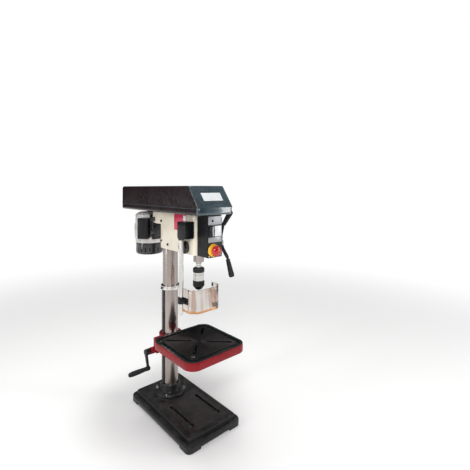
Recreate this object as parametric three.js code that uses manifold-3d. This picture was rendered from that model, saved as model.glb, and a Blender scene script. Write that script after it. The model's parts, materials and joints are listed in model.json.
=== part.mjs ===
// A bench drill press on a cast base, modelled as separate pieces that fit and move.
// Millimetres, +Z up, the operator stands on the -Y side. The column's axis is x = 0, y = 0.

import * as THREE from 'three';
import { mergeVertices } from 'three/addons/utils/BufferGeometryUtils.js';
import Module from 'manifold-3d';

const wasm = await Module();
wasm.setup();

// ---------- driving sizes ----------

const GAP = 0.3;
const RUNNING = 0.4;
const LARGE_SIDES = 24;
const SMALL_SIDES = 12;
const PULLEY_SIDES = 16;
const CORNER_SEGMENTS = 3;
const OVERCUT = 1;

const COLUMN = { radius: 36.5, wall: 5 };
const COLUMN_TO_SPINDLE = 232;

const BASE = {
  width: 274, front: 353, rear: 134, corner: 22, skirt: 30, height: 50, step: 24,
  wall: 10, plate: 12, footLength: 62, archHeight: 8,
};
const BASE_SLOT = { x: 68, near: 110, length: 178, width: 13, eye: 11 };
const FLANGE = { radius: 75, thick: 13, neck: 49, neckTop: 46, height: 46, boltCircle: 64 };
const FLANGE_BOLT = { radius: 5, head: 9, headHeight: 7, grip: 16 };

const RACK = { width: 12, back: 4, pitch: 8, addendum: 2, dedendum: 2.8, length: 446 };
const RACK_RING = { height: 20, wall: 9 };

const TABLE = {
  width: 294, depth: 306, corner: 48, height: 32, top: 362, wall: 9, plate: 14,
  rim: 13, trough: 14, troughDepth: 9,
};
const TABLE_SLOT = { inner: 30, outer: 146, width: 14 };
const TILT = { axisBelowTop: 79, radius: 35, behindCentre: 128, thick: 14, boltRadius: 8 };

const BRACKET = { wall: 17, bottomBelowTilt: 42, topAboveTilt: 50 };
const LIFT_GEAR = { teeth: 12, width: 11 };
const CRANK = {
  shaft: 7, worm: 9, boss: 15, bossEnd: 108, hubLength: 27, armLength: 68, arm: 7,
  belowTilt: 11, lean: -18,
};
const CRANK_GRIP = { radius: 11, length: 88, pin: 4 };
const CLAMP = { radius: 6, lever: 4, leverLength: 74, ball: 10, lean: 50 };

const HEAD = { bottom: 743, height: 173, collar: 46, front: 40, noseCorner: 22, roof: 11 };
const HEAD_POCKET = { near: 58, far: 174, halfWidth: 36, roof: 30 };
const PINION = { teeth: 13, pitchRadius: 13, addendum: 1.7, dedendum: 2.4, width: 30, above: 29 };
const QUILL = { radius: 23, bore: 12, length: 175, protrude: 33, rackPitchDepth: 2.5 };
const SPINDLE = { radius: 10, drive: 8.8, nose: 8.5, noseLength: 60, aboveQuill: 108 };
const BEARING = { height: 14, outer: 17.5 };
const STROKE = 65;

const CHUCK = { below: 26, ring: 25, ringHeight: 20, sleeve: 23, sleeveHeight: 37, noseHeight: 37 };
const JAWS = { radius: 9, below: 5 };

const HUB = { radius: 22, dialRadius: 30, dialThick: 14, length: 108, shaft: 9, armX: 144 };
const ARM = { root: 8, tip: 5, rootLength: 60, bend: 22, firstAngle: 17, count: 3 };
const GRIP = { radius: 13, length: 82, end: 10, roof: 3 };
const SPRING_CAP = { radius: 29, depth: 19, wall: 3 };
const SPRING = { thick: 1.2, width: 10, turns: 3, inner: 11, outer: 23 };

const PAN = { width: 181, rear: 352, front: 355, corner: 14, depth: 31, wall: 3, floor: 3 };
const LID = { height: 89, wall: 3, frontSlope: 66, rearChamfer: 20 };
const HINGE = { behind: 7, above: 5, radius: 5, pin: 2.4, half: 56, knuckle: 26 };
const TENSION_TRAVEL = { closer: 8, away: 20 };

const PULLEY = { steps: [61, 51, 41, 31], step: 16, groove: 7, sleeve: 15, lift: 10 };
const SPINDLE_BELT_STEP = 2;
const MOTOR_BELT_STEP = 1;
const BELT = { height: 5, inward: 3, outward: 1.5 };
const IDLER = { y: 15, shaft: 8 };

const MOTOR = {
  y: 208, radius: 72, body: 144, bell: 12, bellRadius: 60, below: 14, shaft: 8, foot: 48,
  fanRadius: 70, fanLength: 60, fanWall: 3,
};
const MOTOR_BOX = { width: 54, depth: 30, height: 104, seat: 1, bearing: -138 };
const MOTOR_PLATE = { thick: 8, halfWidth: 42, height: 112 };
const SLIDE_BAR = { radius: 8, spacing: 54, depth: 56, below: 40 };
const LUG = { halfWidth: 46, reach: 90, height: 60 };
const TENSION_LEVER = { radius: 5, length: 62, knob: 11 };

const GUARD_BOX = { depth: 46, width: 60, height: 71, behindSpindle: 28, below: 30 };
const GUARD_TUBE = { radius: 9, length: 362, fromHead: 33, fromNear: 13, socket: 40 };
const SHIELD = { height: 97, thick: 3, left: 70, right: 86, front: 58, back: 16, chamfer: 26, lift: 12 };
const GUARD_CLAMP = { radius: 15, height: 26 };

const CONTROL = { width: 75, depth: 70, wall: 3, panel: 3, height: 172 };
const SWITCH = { x: -20, above: 108, width: 24, height: 46, depth: 16, proud: 9 };
const ESTOP = { x: -10, above: 30, ring: 27, ringThick: 12, stem: 7, cap: 22, capThick: 16, travel: 5 };
const GLAND = { radius: 10, nut: 12, length: 18, back: 36, above: 26, bore: 4 };

// ---------- materials ----------

const PAINTS = {
  castBlack: [0x1c1d20, 0.55, 0.3],
  steel: [0xb9b4ae, 0.25, 1.0],
  darkSteel: [0x4a4a4e, 0.4, 0.9],
  blackOxide: [0x18181b, 0.5, 0.6],
  red: [0xb01128, 0.35, 0.1],
  cream: [0xe9dfc9, 0.45, 0.05],
  coverBlack: [0x241f26, 0.3, 0.2],
  motorGrey: [0xb4b0ae, 0.45, 0.4],
  blackPlastic: [0x141417, 0.45, 0.0],
  rubber: [0x161618, 0.8, 0.0],
  panelGrey: [0x9aa0a4, 0.5, 0.1],
  yellow: [0xf0b818, 0.4, 0.0],
  buttonRed: [0xc01818, 0.35, 0.0],
  clear: [0xe6ddd4, 0.08, 0.0],
};

function paint(name) {
  const [color, roughness, metalness] = PAINTS[name];
  return new THREE.MeshStandardMaterial({ color, roughness, metalness });
}

// ---------- solids ----------

function solid(geometry) {
  const bare = geometry.clone();
  bare.deleteAttribute('normal');
  bare.deleteAttribute('uv');
  const merged = mergeVertices(bare, 1e-4);
  const vertProperties = new Float32Array(merged.attributes.position.array);
  const triVerts = new Uint32Array(merged.index.array);
  return new wasm.Manifold(new wasm.Mesh({ numProp: 3, vertProperties, triVerts }));
}

function geometryOf(manifold) {
  const { vertProperties, triVerts } = manifold.getMesh();
  const geometry = new THREE.BufferGeometry();
  geometry.setAttribute('position', new THREE.BufferAttribute(vertProperties, 3));
  geometry.setIndex(new THREE.BufferAttribute(triVerts, 1));
  geometry.computeVertexNormals();
  return geometry;
}

function box(x0, x1, y0, y1, z0, z1) {
  const geometry = new THREE.BoxGeometry(x1 - x0, y1 - y0, z1 - z0);
  geometry.translate((x0 + x1) / 2, (y0 + y1) / 2, (z0 + z1) / 2);
  return solid(geometry);
}

// A turned solid about Z. The profile is a list of [radius, z], closed on itself or on the axis.
function turned(profile, sides = LARGE_SIDES) {
  const points = profile.map(([radius, z]) => new THREE.Vector2(radius, z));
  if (THREE.ShapeUtils.area(points) < 0) points.reverse();
  const geometry = new THREE.LatheGeometry(points, sides);
  geometry.rotateX(Math.PI / 2);
  return solid(geometry);
}

function rod(radius, z0, z1, sides = LARGE_SIDES) {
  return turned([[0, z0], [radius, z0], [radius, z1], [0, z1]], sides);
}

function ring(inner, outer, z0, z1, sides = LARGE_SIDES) {
  return turned([[inner, z0], [outer, z0], [outer, z1], [inner, z1], [inner, z0]], sides);
}

function prism(shape, z0, z1, curveSegments = CORNER_SEGMENTS) {
  const options = { depth: z1 - z0, bevelEnabled: false, curveSegments };
  const geometry = new THREE.ExtrudeGeometry(shape, options);
  geometry.translate(0, 0, z0);
  return solid(geometry);
}

// Turns a solid that stands along Z so that it points along +X, and moves it.
function alongX(body, x = 0, y = 0, z = 0) {
  return body.rotate([0, 90, 0]).translate([x, y, z]);
}

// Turns a solid that stands along Z so that it points along -Y, and moves it.
function alongFront(body, x = 0, y = 0, z = 0) {
  return body.rotate([90, 0, 0]).translate([x, y, z]);
}

function polygon(points) {
  return new THREE.Shape(points.map(([x, y]) => new THREE.Vector2(x, y)));
}

function roundedOutline(x0, x1, y0, y1, radius) {
  const shape = new THREE.Shape();
  shape.moveTo(x0 + radius, y0);
  shape.absarc(x1 - radius, y0 + radius, radius, -Math.PI / 2, 0, false);
  shape.absarc(x1 - radius, y1 - radius, radius, 0, Math.PI / 2, false);
  shape.absarc(x0 + radius, y1 - radius, radius, Math.PI / 2, Math.PI, false);
  shape.absarc(x0 + radius, y0 + radius, radius, Math.PI, 1.5 * Math.PI, false);
  return shape;
}

function hexagon(radius, z0, z1) {
  return rod(radius, z0, z1, 6);
}

// A toothed wheel about Z, with a gap centred on +X.
function toothedWheel(teeth, pitchRadius, addendum, dedendum, z0, z1) {
  const pitchAngle = (2 * Math.PI) / teeth;
  const points = [];
  for (let tooth = 0; tooth < teeth; tooth += 1) {
    const middle = (tooth + 0.5) * pitchAngle;
    const corners = [[-0.3, -dedendum], [-0.12, addendum], [0.12, addendum], [0.3, -dedendum]];
    for (const [share, height] of corners) {
      const angle = middle + share * pitchAngle;
      const radius = pitchRadius + height;
      points.push([radius * Math.cos(angle), radius * Math.sin(angle)]);
    }
  }
  return prism(polygon(points), z0, z1);
}

// The side view of a rack's teeth along the second coordinate, with tooth centres at `phase`.
function rackTeeth(start, end, pitch, phase, addendum, dedendum) {
  const first = Math.ceil((start - phase) / pitch + 0.5);
  const last = Math.floor((end - phase) / pitch - 0.5);
  const points = [];
  for (let tooth = first; tooth <= last; tooth += 1) {
    const middle = phase + tooth * pitch;
    const corners = [[-0.3, -dedendum], [-0.12, addendum], [0.12, addendum], [0.3, -dedendum]];
    for (const [share, height] of corners) {
      points.push([height, middle + share * pitch]);
    }
  }
  return points;
}

const drillPress = new THREE.Group();

function part(name, body, finish, parent, place = [0, 0, 0]) {
  const mesh = new THREE.Mesh(geometryOf(body), paint(finish));
  mesh.name = name;
  mesh.position.set(...place);
  parent.add(mesh);
  return mesh;
}

function section(x = 0, y = 0, z = 0) {
  const group = new THREE.Group();
  group.position.set(x, y, z);
  drillPress.add(group);
  return group;
}

// ---------- derived places ----------

const flangeBottom = BASE.height + GAP;
const flangeTop = flangeBottom + FLANGE.height;
const headTop = HEAD.bottom + HEAD.height;
const columnTop = headTop - HEAD.roof - GAP;
const tiltZ = TABLE.top - TILT.axisBelowTop;
const tiltFaceY = COLUMN_TO_SPINDLE - TILT.behindCentre;
const rackBottom = flangeTop + GAP;
const rackTop = rackBottom + RACK.length;
const rackFace = COLUMN.radius + RUNNING;
const rackPitchX = rackFace + RACK.back + RACK.dedendum;
const liftPitchRadius = (LIFT_GEAR.teeth * RACK.pitch) / (2 * Math.PI);
const liftGearX = rackPitchX + liftPitchRadius;
const liftTip = liftPitchRadius + RACK.addendum;
const crankZ = tiltZ - CRANK.belowTilt;
const liftGearZ = crankZ + liftTip + CRANK.worm + GAP;
const bracketRadius = COLUMN.radius + BRACKET.wall;
const bracketBottom = tiltZ - BRACKET.bottomBelowTilt;
const bracketTop = tiltZ + BRACKET.topAboveTilt;
const panBottom = headTop + GAP;
const panTop = panBottom + PAN.depth;
const lidBottom = panTop + GAP;
const lidTop = lidBottom + LID.height;
const pulleyBottom = panBottom + PAN.floor + PULLEY.lift;
const pulleyTop = pulleyBottom + PULLEY.steps.length * PULLEY.step;
const quillBottom = HEAD.bottom - QUILL.protrude;
const quillTop = quillBottom + QUILL.length;
const quillRackDepth = QUILL.radius - QUILL.rackPitchDepth;
const pinionY = quillRackDepth + PINION.pitchRadius + 0.1;
const pinionZ = HEAD.bottom + PINION.above;
const pinionPitch = (2 * Math.PI * PINION.pitchRadius) / PINION.teeth;
const pinionOuter = PINION.pitchRadius + PINION.addendum;
const pinionBore = pinionOuter + RUNNING;
const headFront = COLUMN_TO_SPINDLE + HEAD.front;
const motorPlateY = MOTOR.y - MOTOR.radius - 6 - MOTOR_PLATE.thick - GAP;
const slideBarZ = headTop - SLIDE_BAR.below;

// ---------- base, flange and column ----------

function baseCasting() {
  const half = BASE.width / 2;
  const skirtOutline = roundedOutline(-half, half, -BASE.front, BASE.rear, BASE.corner);
  const inset = (distance, corner) => roundedOutline(
    -half + distance, half - distance, -BASE.front + distance, BASE.rear - distance, corner);
  let body = prism(skirtOutline, 0, BASE.skirt);
  body = body.add(prism(inset(BASE.step, BASE.corner * 0.7), BASE.skirt - OVERCUT, BASE.height));
  const skirtHollow = prism(inset(BASE.wall, BASE.corner / 2), -OVERCUT, BASE.skirt - BASE.plate);
  const topHollow = inset(BASE.step + BASE.wall, BASE.corner / 2);
  body = body.subtract(skirtHollow);
  body = body.subtract(prism(topHollow, 0, BASE.height - BASE.plate));
  body = body.subtract(box(-half + BASE.footLength, half - BASE.footLength,
    -BASE.front - OVERCUT, BASE.rear + OVERCUT, -OVERCUT, BASE.archHeight));
  body = body.subtract(box(-half - OVERCUT, half + OVERCUT,
    -BASE.front + BASE.footLength, BASE.rear - BASE.footLength, -OVERCUT, BASE.archHeight));
  for (const side of [-1, 1]) {
    body = body.subtract(baseSlot(side * BASE_SLOT.x));
  }
  for (const [x, y] of flangeBoltPlaces()) {
    const hole = rod(FLANGE_BOLT.radius + RUNNING, 0, BASE.height + OVERCUT, SMALL_SIDES);
    body = body.subtract(hole.translate([x, y, 0]));
  }
  return body;
}

function baseSlot(x) {
  const half = BASE_SLOT.width / 2;
  const nearY = -BASE_SLOT.near;
  const farY = nearY - BASE_SLOT.length;
  const z0 = BASE.height - BASE.plate - OVERCUT;
  const z1 = BASE.height + OVERCUT;
  const groove = prism(roundedOutline(x - half, x + half, farY, nearY, half * 0.98), z0, z1, 2);
  const eye = rod(BASE_SLOT.eye, z0, z1, SMALL_SIDES).translate([x, farY + BASE_SLOT.eye, 0]);
  return groove.add(eye);
}

function flangeBoltPlaces() {
  return [45, 135, 225, 315].map((degrees) => {
    const angle = THREE.MathUtils.degToRad(degrees);
    return [FLANGE.boltCircle * Math.cos(angle), FLANGE.boltCircle * Math.sin(angle)];
  });
}

function columnFlange() {
  const inner = COLUMN.radius + GAP;
  let body = turned([
    [inner, 0], [FLANGE.radius, 0], [FLANGE.radius, FLANGE.thick - 3],
    [FLANGE.radius - 4, FLANGE.thick], [FLANGE.neck, FLANGE.thick],
    [FLANGE.neckTop, FLANGE.height], [inner, FLANGE.height], [inner, 0],
  ]);
  for (const [x, y] of flangeBoltPlaces()) {
    const hole = rod(FLANGE_BOLT.radius + RUNNING, -OVERCUT, FLANGE.thick + OVERCUT, SMALL_SIDES);
    const seat = rod(FLANGE_BOLT.head + 1.5, FLANGE.thick, FLANGE.height, SMALL_SIDES);
    body = body.subtract(hole.add(seat).translate([x, y, 0]));
  }
  return body;
}

function flangeBolt() {
  const shank = rod(FLANGE_BOLT.radius, -FLANGE.thick - FLANGE_BOLT.grip, 1, SMALL_SIDES);
  return shank.add(hexagon(FLANGE_BOLT.head, GAP, FLANGE_BOLT.headHeight));
}

function rackStrip() {
  const teeth = rackTeeth(0, RACK.length, RACK.pitch, liftGearZ - rackBottom,
    RACK.addendum, RACK.dedendum);
  const outline = [
    [-RACK.back - RACK.dedendum, 0], [-RACK.dedendum, 0], ...teeth,
    [-RACK.dedendum, RACK.length], [-RACK.back - RACK.dedendum, RACK.length],
  ];
  const strip = prism(polygon(outline), -RACK.width / 2, RACK.width / 2);
  return strip.rotate([90, 0, 180]);
}

function rackRing() {
  return ring(COLUMN.radius + GAP, COLUMN.radius + RACK_RING.wall, 0, RACK_RING.height);
}

const foot = section();
part('base', baseCasting(), 'castBlack', foot);
part('column_flange', columnFlange(), 'castBlack', foot, [0, 0, flangeBottom]);
flangeBoltPlaces().forEach(([x, y], index) => {
  const place = [x, y, flangeBottom + FLANGE.thick];
  part(`flange_bolt_${index + 1}`, flangeBolt(), 'darkSteel', foot, place);
});
part('column', ring(COLUMN.radius - COLUMN.wall, COLUMN.radius, flangeBottom, columnTop), 'steel', foot);
part('rack', rackStrip(), 'darkSteel', foot, [-rackPitchX, 0, rackBottom]);
part('rack_ring', rackRing(), 'steel', foot, [0, 0, rackTop + GAP]);

// ---------- table and its bracket ----------

const tableCentreY = -COLUMN_TO_SPINDLE;

function tableOutline(distance) {
  const halfX = TABLE.width / 2 - distance;
  const halfY = TABLE.depth / 2 - distance;
  return roundedOutline(-halfX, halfX, -halfY, halfY, Math.max(TABLE.corner - distance, 6));
}

function tableCasting() {
  let body = prism(tableOutline(0), -TABLE.height, 0, 4);
  const troughOuter = prism(tableOutline(TABLE.rim), -TABLE.troughDepth, OVERCUT, 4);
  const plateau = prism(tableOutline(TABLE.rim + TABLE.trough), -TABLE.height, 2 * OVERCUT, 4);
  body = body.subtract(troughOuter.subtract(plateau));
  const hollow = prism(tableOutline(TABLE.wall), -TABLE.height - OVERCUT,
    -TABLE.troughDepth - TABLE.plate, 4);
  body = body.subtract(hollow);
  for (const degrees of [45, 135, 225, 315]) {
    body = body.subtract(tableSlot().rotate([0, 0, degrees]));
  }
  return body.add(tiltPad());
}

function tableSlot() {
  const half = TABLE_SLOT.width / 2;
  const outline = roundedOutline(TABLE_SLOT.inner, TABLE_SLOT.outer, -half, half, half * 0.98);
  return prism(outline, -TABLE.height, OVERCUT, 2);
}

// The flat pad under the table that the tilt bolt pulls against the bracket.
function tiltPad() {
  const rear = TILT.behindCentre - GAP;
  const front = rear - TILT.thick;
  const pad = alongFront(rod(TILT.radius, 0, TILT.thick), 0, rear, -TILT.axisBelowTop);
  const web = box(-TILT.radius, TILT.radius, front, rear,
    -TILT.axisBelowTop, -TABLE.troughDepth - TABLE.plate + OVERCUT);
  const hole = alongFront(rod(TILT.boltRadius + RUNNING, -OVERCUT, TILT.thick + OVERCUT, SMALL_SIDES),
    0, rear, -TILT.axisBelowTop);
  return pad.add(web).subtract(hole);
}

function tableBracket() {
  let body = rod(bracketRadius, bracketBottom, bracketTop);
  body = body.add(alongFront(rod(TILT.radius, COLUMN.radius, tiltFaceY), 0, 0, tiltZ));
  const housingHalf = LIFT_GEAR.width / 2 + 10;
  const housingEnd = liftGearX + liftTip + 6;
  body = body.add(box(-housingEnd, -COLUMN.radius, -housingHalf, housingHalf,
    crankZ - CRANK.worm - 6, liftGearZ + liftTip + 6));
  body = body.add(alongX(rod(CRANK.boss, -CRANK.bossEnd, -COLUMN.radius), 0, 0, crankZ));
  body = body.add(alongX(rod(CLAMP.radius + 8, COLUMN.radius + 2, bracketRadius + 8), 0, 0, tiltZ));
  body = body.subtract(rod(COLUMN.radius + RUNNING, bracketBottom - OVERCUT, bracketTop + OVERCUT));
  const rackClearX = rackPitchX + RACK.addendum + 1;
  body = body.subtract(box(-rackClearX, 0, -RACK.width / 2 - 1, RACK.width / 2 + 1,
    bracketBottom - OVERCUT, bracketTop + OVERCUT));
  const gearHalf = LIFT_GEAR.width / 2 + 1;
  body = body.subtract(box(-liftGearX - liftTip - 1, -rackClearX + OVERCUT, -gearHalf, gearHalf,
    liftGearZ - liftTip - 1, liftGearZ + liftTip + 1));
  const wormRoom = alongX(rod(CRANK.worm + GAP, -housingEnd + 5, -rackClearX + 1), 0, 0, crankZ);
  const wormBore = alongX(rod(CRANK.shaft + GAP, -CRANK.bossEnd - OVERCUT, -rackClearX), 0, 0, crankZ);
  body = body.subtract(wormRoom).subtract(wormBore);
  const clampBore = alongX(rod(CLAMP.radius + GAP, 0, bracketRadius + 10, SMALL_SIDES), 0, 0, tiltZ);
  body = body.subtract(clampBore);
  const tiltBore = rod(TILT.boltRadius + GAP, tiltFaceY - 40, tiltFaceY + OVERCUT, SMALL_SIDES);
  return body.subtract(alongFront(tiltBore, 0, 0, tiltZ));
}

function tiltBolt() {
  const padFront = tiltFaceY + GAP + TILT.thick;
  const shank = rod(TILT.boltRadius, tiltFaceY - 38, padFront + 1, SMALL_SIDES);
  const head = hexagon(TILT.boltRadius * 1.9, padFront + GAP, padFront + 11);
  return alongFront(shank.add(head));
}

function liftGear() {
  const wheel = toothedWheel(LIFT_GEAR.teeth, liftPitchRadius - 0.1, RACK.addendum - 0.2,
    RACK.dedendum - 0.2, -LIFT_GEAR.width / 2, LIFT_GEAR.width / 2);
  return wheel.rotate([90, 0, 0]);
}

function crankShaft() {
  const end = CRANK.bossEnd + GAP + CRANK.hubLength - 2;
  const start = rackPitchX + RACK.addendum + 3;
  const housingEnd = liftGearX + liftTip + 6;
  const shaft = rod(CRANK.shaft, -end, -start, SMALL_SIDES);
  return alongX(shaft.add(rod(CRANK.worm, -housingEnd + 6, -start, SMALL_SIDES)));
}

const crankHubX = CRANK.bossEnd + GAP;
const crankArmX = crankHubX + CRANK.hubLength - CRANK.arm;
const crankOuterX = crankHubX + CRANK.hubLength;

function crankArm() {
  const hub = alongX(rod(CRANK.arm * 2, -crankOuterX, -crankHubX, SMALL_SIDES));
  const arm = box(-crankArmX - CRANK.arm, -crankArmX + CRANK.arm, -CRANK.arm, CRANK.arm,
    -CRANK.armLength, 0);
  const end = alongX(rod(CRANK.arm + 3, -crankArmX - CRANK.arm, -crankArmX + CRANK.arm, SMALL_SIDES),
    0, 0, -CRANK.armLength);
  const pinLength = crankOuterX + CRANK_GRIP.length - 6;
  const pin = alongX(rod(CRANK_GRIP.pin, -pinLength, -crankArmX, SMALL_SIDES), 0, 0, -CRANK.armLength);
  const shaftLength = crankOuterX - 2 + GAP;
  const bore = alongX(rod(CRANK.shaft + GAP, -shaftLength, 0, SMALL_SIDES));
  return hub.add(arm).add(end).add(pin).subtract(bore);
}

function crankGrip() {
  const bore = CRANK_GRIP.pin + GAP;
  const tip = CRANK_GRIP.length;
  const profile = [
    [bore, 0], [CRANK_GRIP.radius - 3, 0], [CRANK_GRIP.radius - 1, 12], [CRANK_GRIP.radius, tip - 16],
    [CRANK_GRIP.radius - 3, tip - 2], [0, tip], [0, tip - 5], [bore, tip - 5], [bore, 0],
  ];
  return turned(profile, SMALL_SIDES).rotate([0, -90, 0]);
}

function clampLever() {
  const screwEnd = bracketRadius + 8 + GAP;
  const screw = rod(CLAMP.radius, COLUMN.radius + 1, screwEnd + 12, SMALL_SIDES);
  const hub = rod(CLAMP.radius + 5, screwEnd + GAP, screwEnd + 16, SMALL_SIDES);
  const tip = solid(new THREE.SphereGeometry(CLAMP.ball, SMALL_SIDES, 8));
  const handle = rod(CLAMP.lever, 0, CLAMP.leverLength, SMALL_SIDES)
    .add(tip.translate([0, 0, CLAMP.leverLength]));
  const leaning = handle.rotate([CLAMP.lean, 0, 0]).translate([screwEnd + 8, 0, 0]);
  return alongX(screw.add(hub)).add(leaning);
}

const tableGroup = section(0, tableCentreY, TABLE.top);
part('table', tableCasting(), 'red', tableGroup);
const bracketGroup = section();
part('table_bracket', tableBracket(), 'red', bracketGroup);
part('tilt_bolt', tiltBolt(), 'darkSteel', bracketGroup, [0, 0, tiltZ]);
part('column_clamp_lever', clampLever(), 'blackOxide', bracketGroup, [0, 0, tiltZ]);
part('lift_gear', liftGear(), 'darkSteel', bracketGroup, [-liftGearX - 0.1, 0, liftGearZ]);
part('crank_shaft', crankShaft(), 'darkSteel', bracketGroup, [0, 0, crankZ]);
const crankGroup = new THREE.Group();
crankGroup.position.z = crankZ;
crankGroup.rotation.x = THREE.MathUtils.degToRad(CRANK.lean);
bracketGroup.add(crankGroup);
part('crank_arm', crankArm(), 'castBlack', crankGroup);
const crankGripPlace = [-crankOuterX - GAP, 0, -CRANK.armLength];
part('crank_grip', crankGrip(), 'rubber', crankGroup, crankGripPlace);

// ---------- head ----------

function headOutline() {
  const half = HEAD.collar;
  const corner = HEAD.noseCorner;
  const shape = new THREE.Shape();
  shape.absarc(0, 0, half, 0, Math.PI, false);
  shape.lineTo(-half, -headFront + corner);
  shape.absarc(-half + corner, -headFront + corner, corner, Math.PI, 1.5 * Math.PI, false);
  shape.absarc(half - corner, -headFront + corner, corner, 1.5 * Math.PI, 2 * Math.PI, false);
  return shape;
}

function headCasting() {
  const spindleY = -COLUMN_TO_SPINDLE;
  let body = prism(headOutline(), HEAD.bottom, headTop, 5);
  body = body.add(box(-LUG.halfWidth, LUG.halfWidth, 0, LUG.reach, headTop - LUG.height, headTop));
  body = body.subtract(rod(COLUMN.radius + GAP, HEAD.bottom - OVERCUT, headTop - HEAD.roof));
  const quillBore = rod(QUILL.radius + RUNNING, HEAD.bottom - OVERCUT, headTop + OVERCUT);
  body = body.subtract(quillBore.translate([0, spindleY, 0]));
  body = body.subtract(box(-HEAD_POCKET.halfWidth, HEAD_POCKET.halfWidth,
    -HEAD_POCKET.far, -HEAD_POCKET.near, HEAD.bottom - OVERCUT, headTop - HEAD_POCKET.roof));
  const pinionHole = rod(pinionBore, -HEAD.collar - OVERCUT, HEAD.collar + OVERCUT);
  body = body.subtract(alongX(pinionHole, 0, spindleY + pinionY, pinionZ));
  const idlerHole = rod(IDLER.shaft + GAP, headTop - HEAD.roof + 3, headTop + OVERCUT, SMALL_SIDES);
  body = body.subtract(idlerHole.translate([0, -IDLER.y, 0]));
  for (const side of [-1, 1]) {
    const hole = rod(SLIDE_BAR.radius + RUNNING, -LUG.reach - OVERCUT, 12 - SLIDE_BAR.depth);
    body = body.subtract(alongFront(hole, (side * SLIDE_BAR.spacing) / 2, 0, slideBarZ));
  }
  const leverHole = rod(TENSION_LEVER.radius + GAP, -LUG.halfWidth - OVERCUT,
    -SLIDE_BAR.spacing / 2, SMALL_SIDES);
  return body.subtract(alongX(leverHole, 0, LUG.reach - 14, slideBarZ));
}

// ---------- belt cover ----------

function panOutline(distance) {
  const half = PAN.width / 2 - distance;
  return roundedOutline(-half, half, -PAN.front + distance, PAN.rear - distance,
    PAN.corner - distance);
}

function knuckle(x0, x1) {
  const barrel = rod(HINGE.radius, x0, x1, SMALL_SIDES);
  return alongX(barrel, 0, PAN.rear + HINGE.behind, panTop + HINGE.above);
}

function hingeLeaf(x0, x1, offWall, z0, z1) {
  return box(x0, x1, PAN.rear + offWall, PAN.rear + HINGE.behind, z0, z1);
}

function hingeBore() {
  const bore = rod(HINGE.pin + GAP, -PAN.width, PAN.width, SMALL_SIDES);
  return alongX(bore, 0, PAN.rear + HINGE.behind, panTop + HINGE.above);
}

function beltPan() {
  let body = prism(panOutline(0), panBottom, panTop);
  body = body.subtract(prism(panOutline(PAN.wall), panBottom + PAN.floor, panTop + OVERCUT));
  for (const side of [-1, 1]) {
    const ends = [side * (HINGE.half + GAP), side * (HINGE.half + HINGE.knuckle)];
    const [x0, x1] = [Math.min(...ends), Math.max(...ends)];
    body = body.add(knuckle(x0, x1)).add(hingeLeaf(x0, x1, -1, panTop - 8, panTop));
    body = body.add(hingeLeaf(x0, x1, 2 * GAP, panTop - 1, panTop + HINGE.above));
  }
  body = body.subtract(hingeBore());
  const sleeveHole = rod(PULLEY.sleeve + 6, panBottom - OVERCUT, panTop);
  body = body.subtract(sleeveHole.translate([0, -COLUMN_TO_SPINDLE, 0]));
  const idlerHole = rod(IDLER.shaft + GAP, panBottom - OVERCUT, panTop, SMALL_SIDES);
  body = body.subtract(idlerHole.translate([0, -IDLER.y, 0]));
  const slotHalf = MOTOR.shaft + 10;
  const slot = roundedOutline(-slotHalf, slotHalf, MOTOR.y - slotHalf - TENSION_TRAVEL.closer,
    MOTOR.y + slotHalf + TENSION_TRAVEL.away, slotHalf * 0.98);
  return body.subtract(prism(slot, panBottom - OVERCUT, panTop));
}

// The lid's side view, drawn in y and z and drawn in by `inset` on its outer faces.
function lidProfile(inset, bottom) {
  const slopeAngle = Math.atan2(LID.frontSlope, LID.height);
  const slopeInset = inset / Math.cos(slopeAngle);
  const topShift = (LID.frontSlope * inset) / LID.height;
  return polygon([
    [-PAN.front + slopeInset, bottom], [PAN.rear - inset, bottom],
    [PAN.rear - inset, lidTop - LID.rearChamfer * 0.75 - inset * 0.6],
    [PAN.rear - LID.rearChamfer - inset * 0.4, lidTop - inset],
    [-PAN.front + LID.frontSlope - topShift + slopeInset, lidTop - inset],
  ]);
}

function lidBlock(inset, bottom) {
  const half = PAN.width / 2 - inset;
  const block = prism(lidProfile(inset, bottom), -half, half);
  return block.rotate([90, 0, 90]);
}

function beltLid() {
  const limit = prism(panOutline(0), lidBottom, lidTop);
  const innerLimit = prism(panOutline(LID.wall), lidBottom - OVERCUT, lidTop - LID.wall);
  let body = lidBlock(0, lidBottom).intersect(limit);
  body = body.subtract(lidBlock(LID.wall, lidBottom - OVERCUT).intersect(innerLimit));
  const half = HINGE.half - GAP;
  body = body.add(knuckle(-half, half));
  body = body.add(hingeLeaf(-half, half, -1, panTop + HINGE.above - 3, panTop + HINGE.above + 6));
  return body.subtract(hingeBore());
}

function hingePin() {
  const half = HINGE.half + HINGE.knuckle + 2;
  const pin = rod(HINGE.pin, -half, half, SMALL_SIDES);
  return pin.add(rod(HINGE.pin + 1.6, half - 1, half + 2, SMALL_SIDES)).rotate([0, 90, 0]);
}

const headGroup = section();
part('head', headCasting(), 'cream', headGroup);
part('belt_pan', beltPan(), 'coverBlack', headGroup);
part('belt_lid', beltLid(), 'coverBlack', headGroup);
const hingePlace = [0, PAN.rear + HINGE.behind, panTop + HINGE.above];
part('lid_hinge_pin', hingePin(), 'steel', headGroup, hingePlace);

// ---------- pulleys and belts ----------

function pulleyProfile(steps, bore) {
  const profile = [[bore, pulleyBottom]];
  steps.forEach((radius, index) => {
    const z = pulleyBottom + index * PULLEY.step;
    profile.push([radius, z + 1], [radius - PULLEY.groove, z + PULLEY.step / 2]);
    profile.push([radius, z + PULLEY.step - 1]);
  });
  profile.push([bore, pulleyTop], [bore, pulleyBottom]);
  return profile;
}

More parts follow.
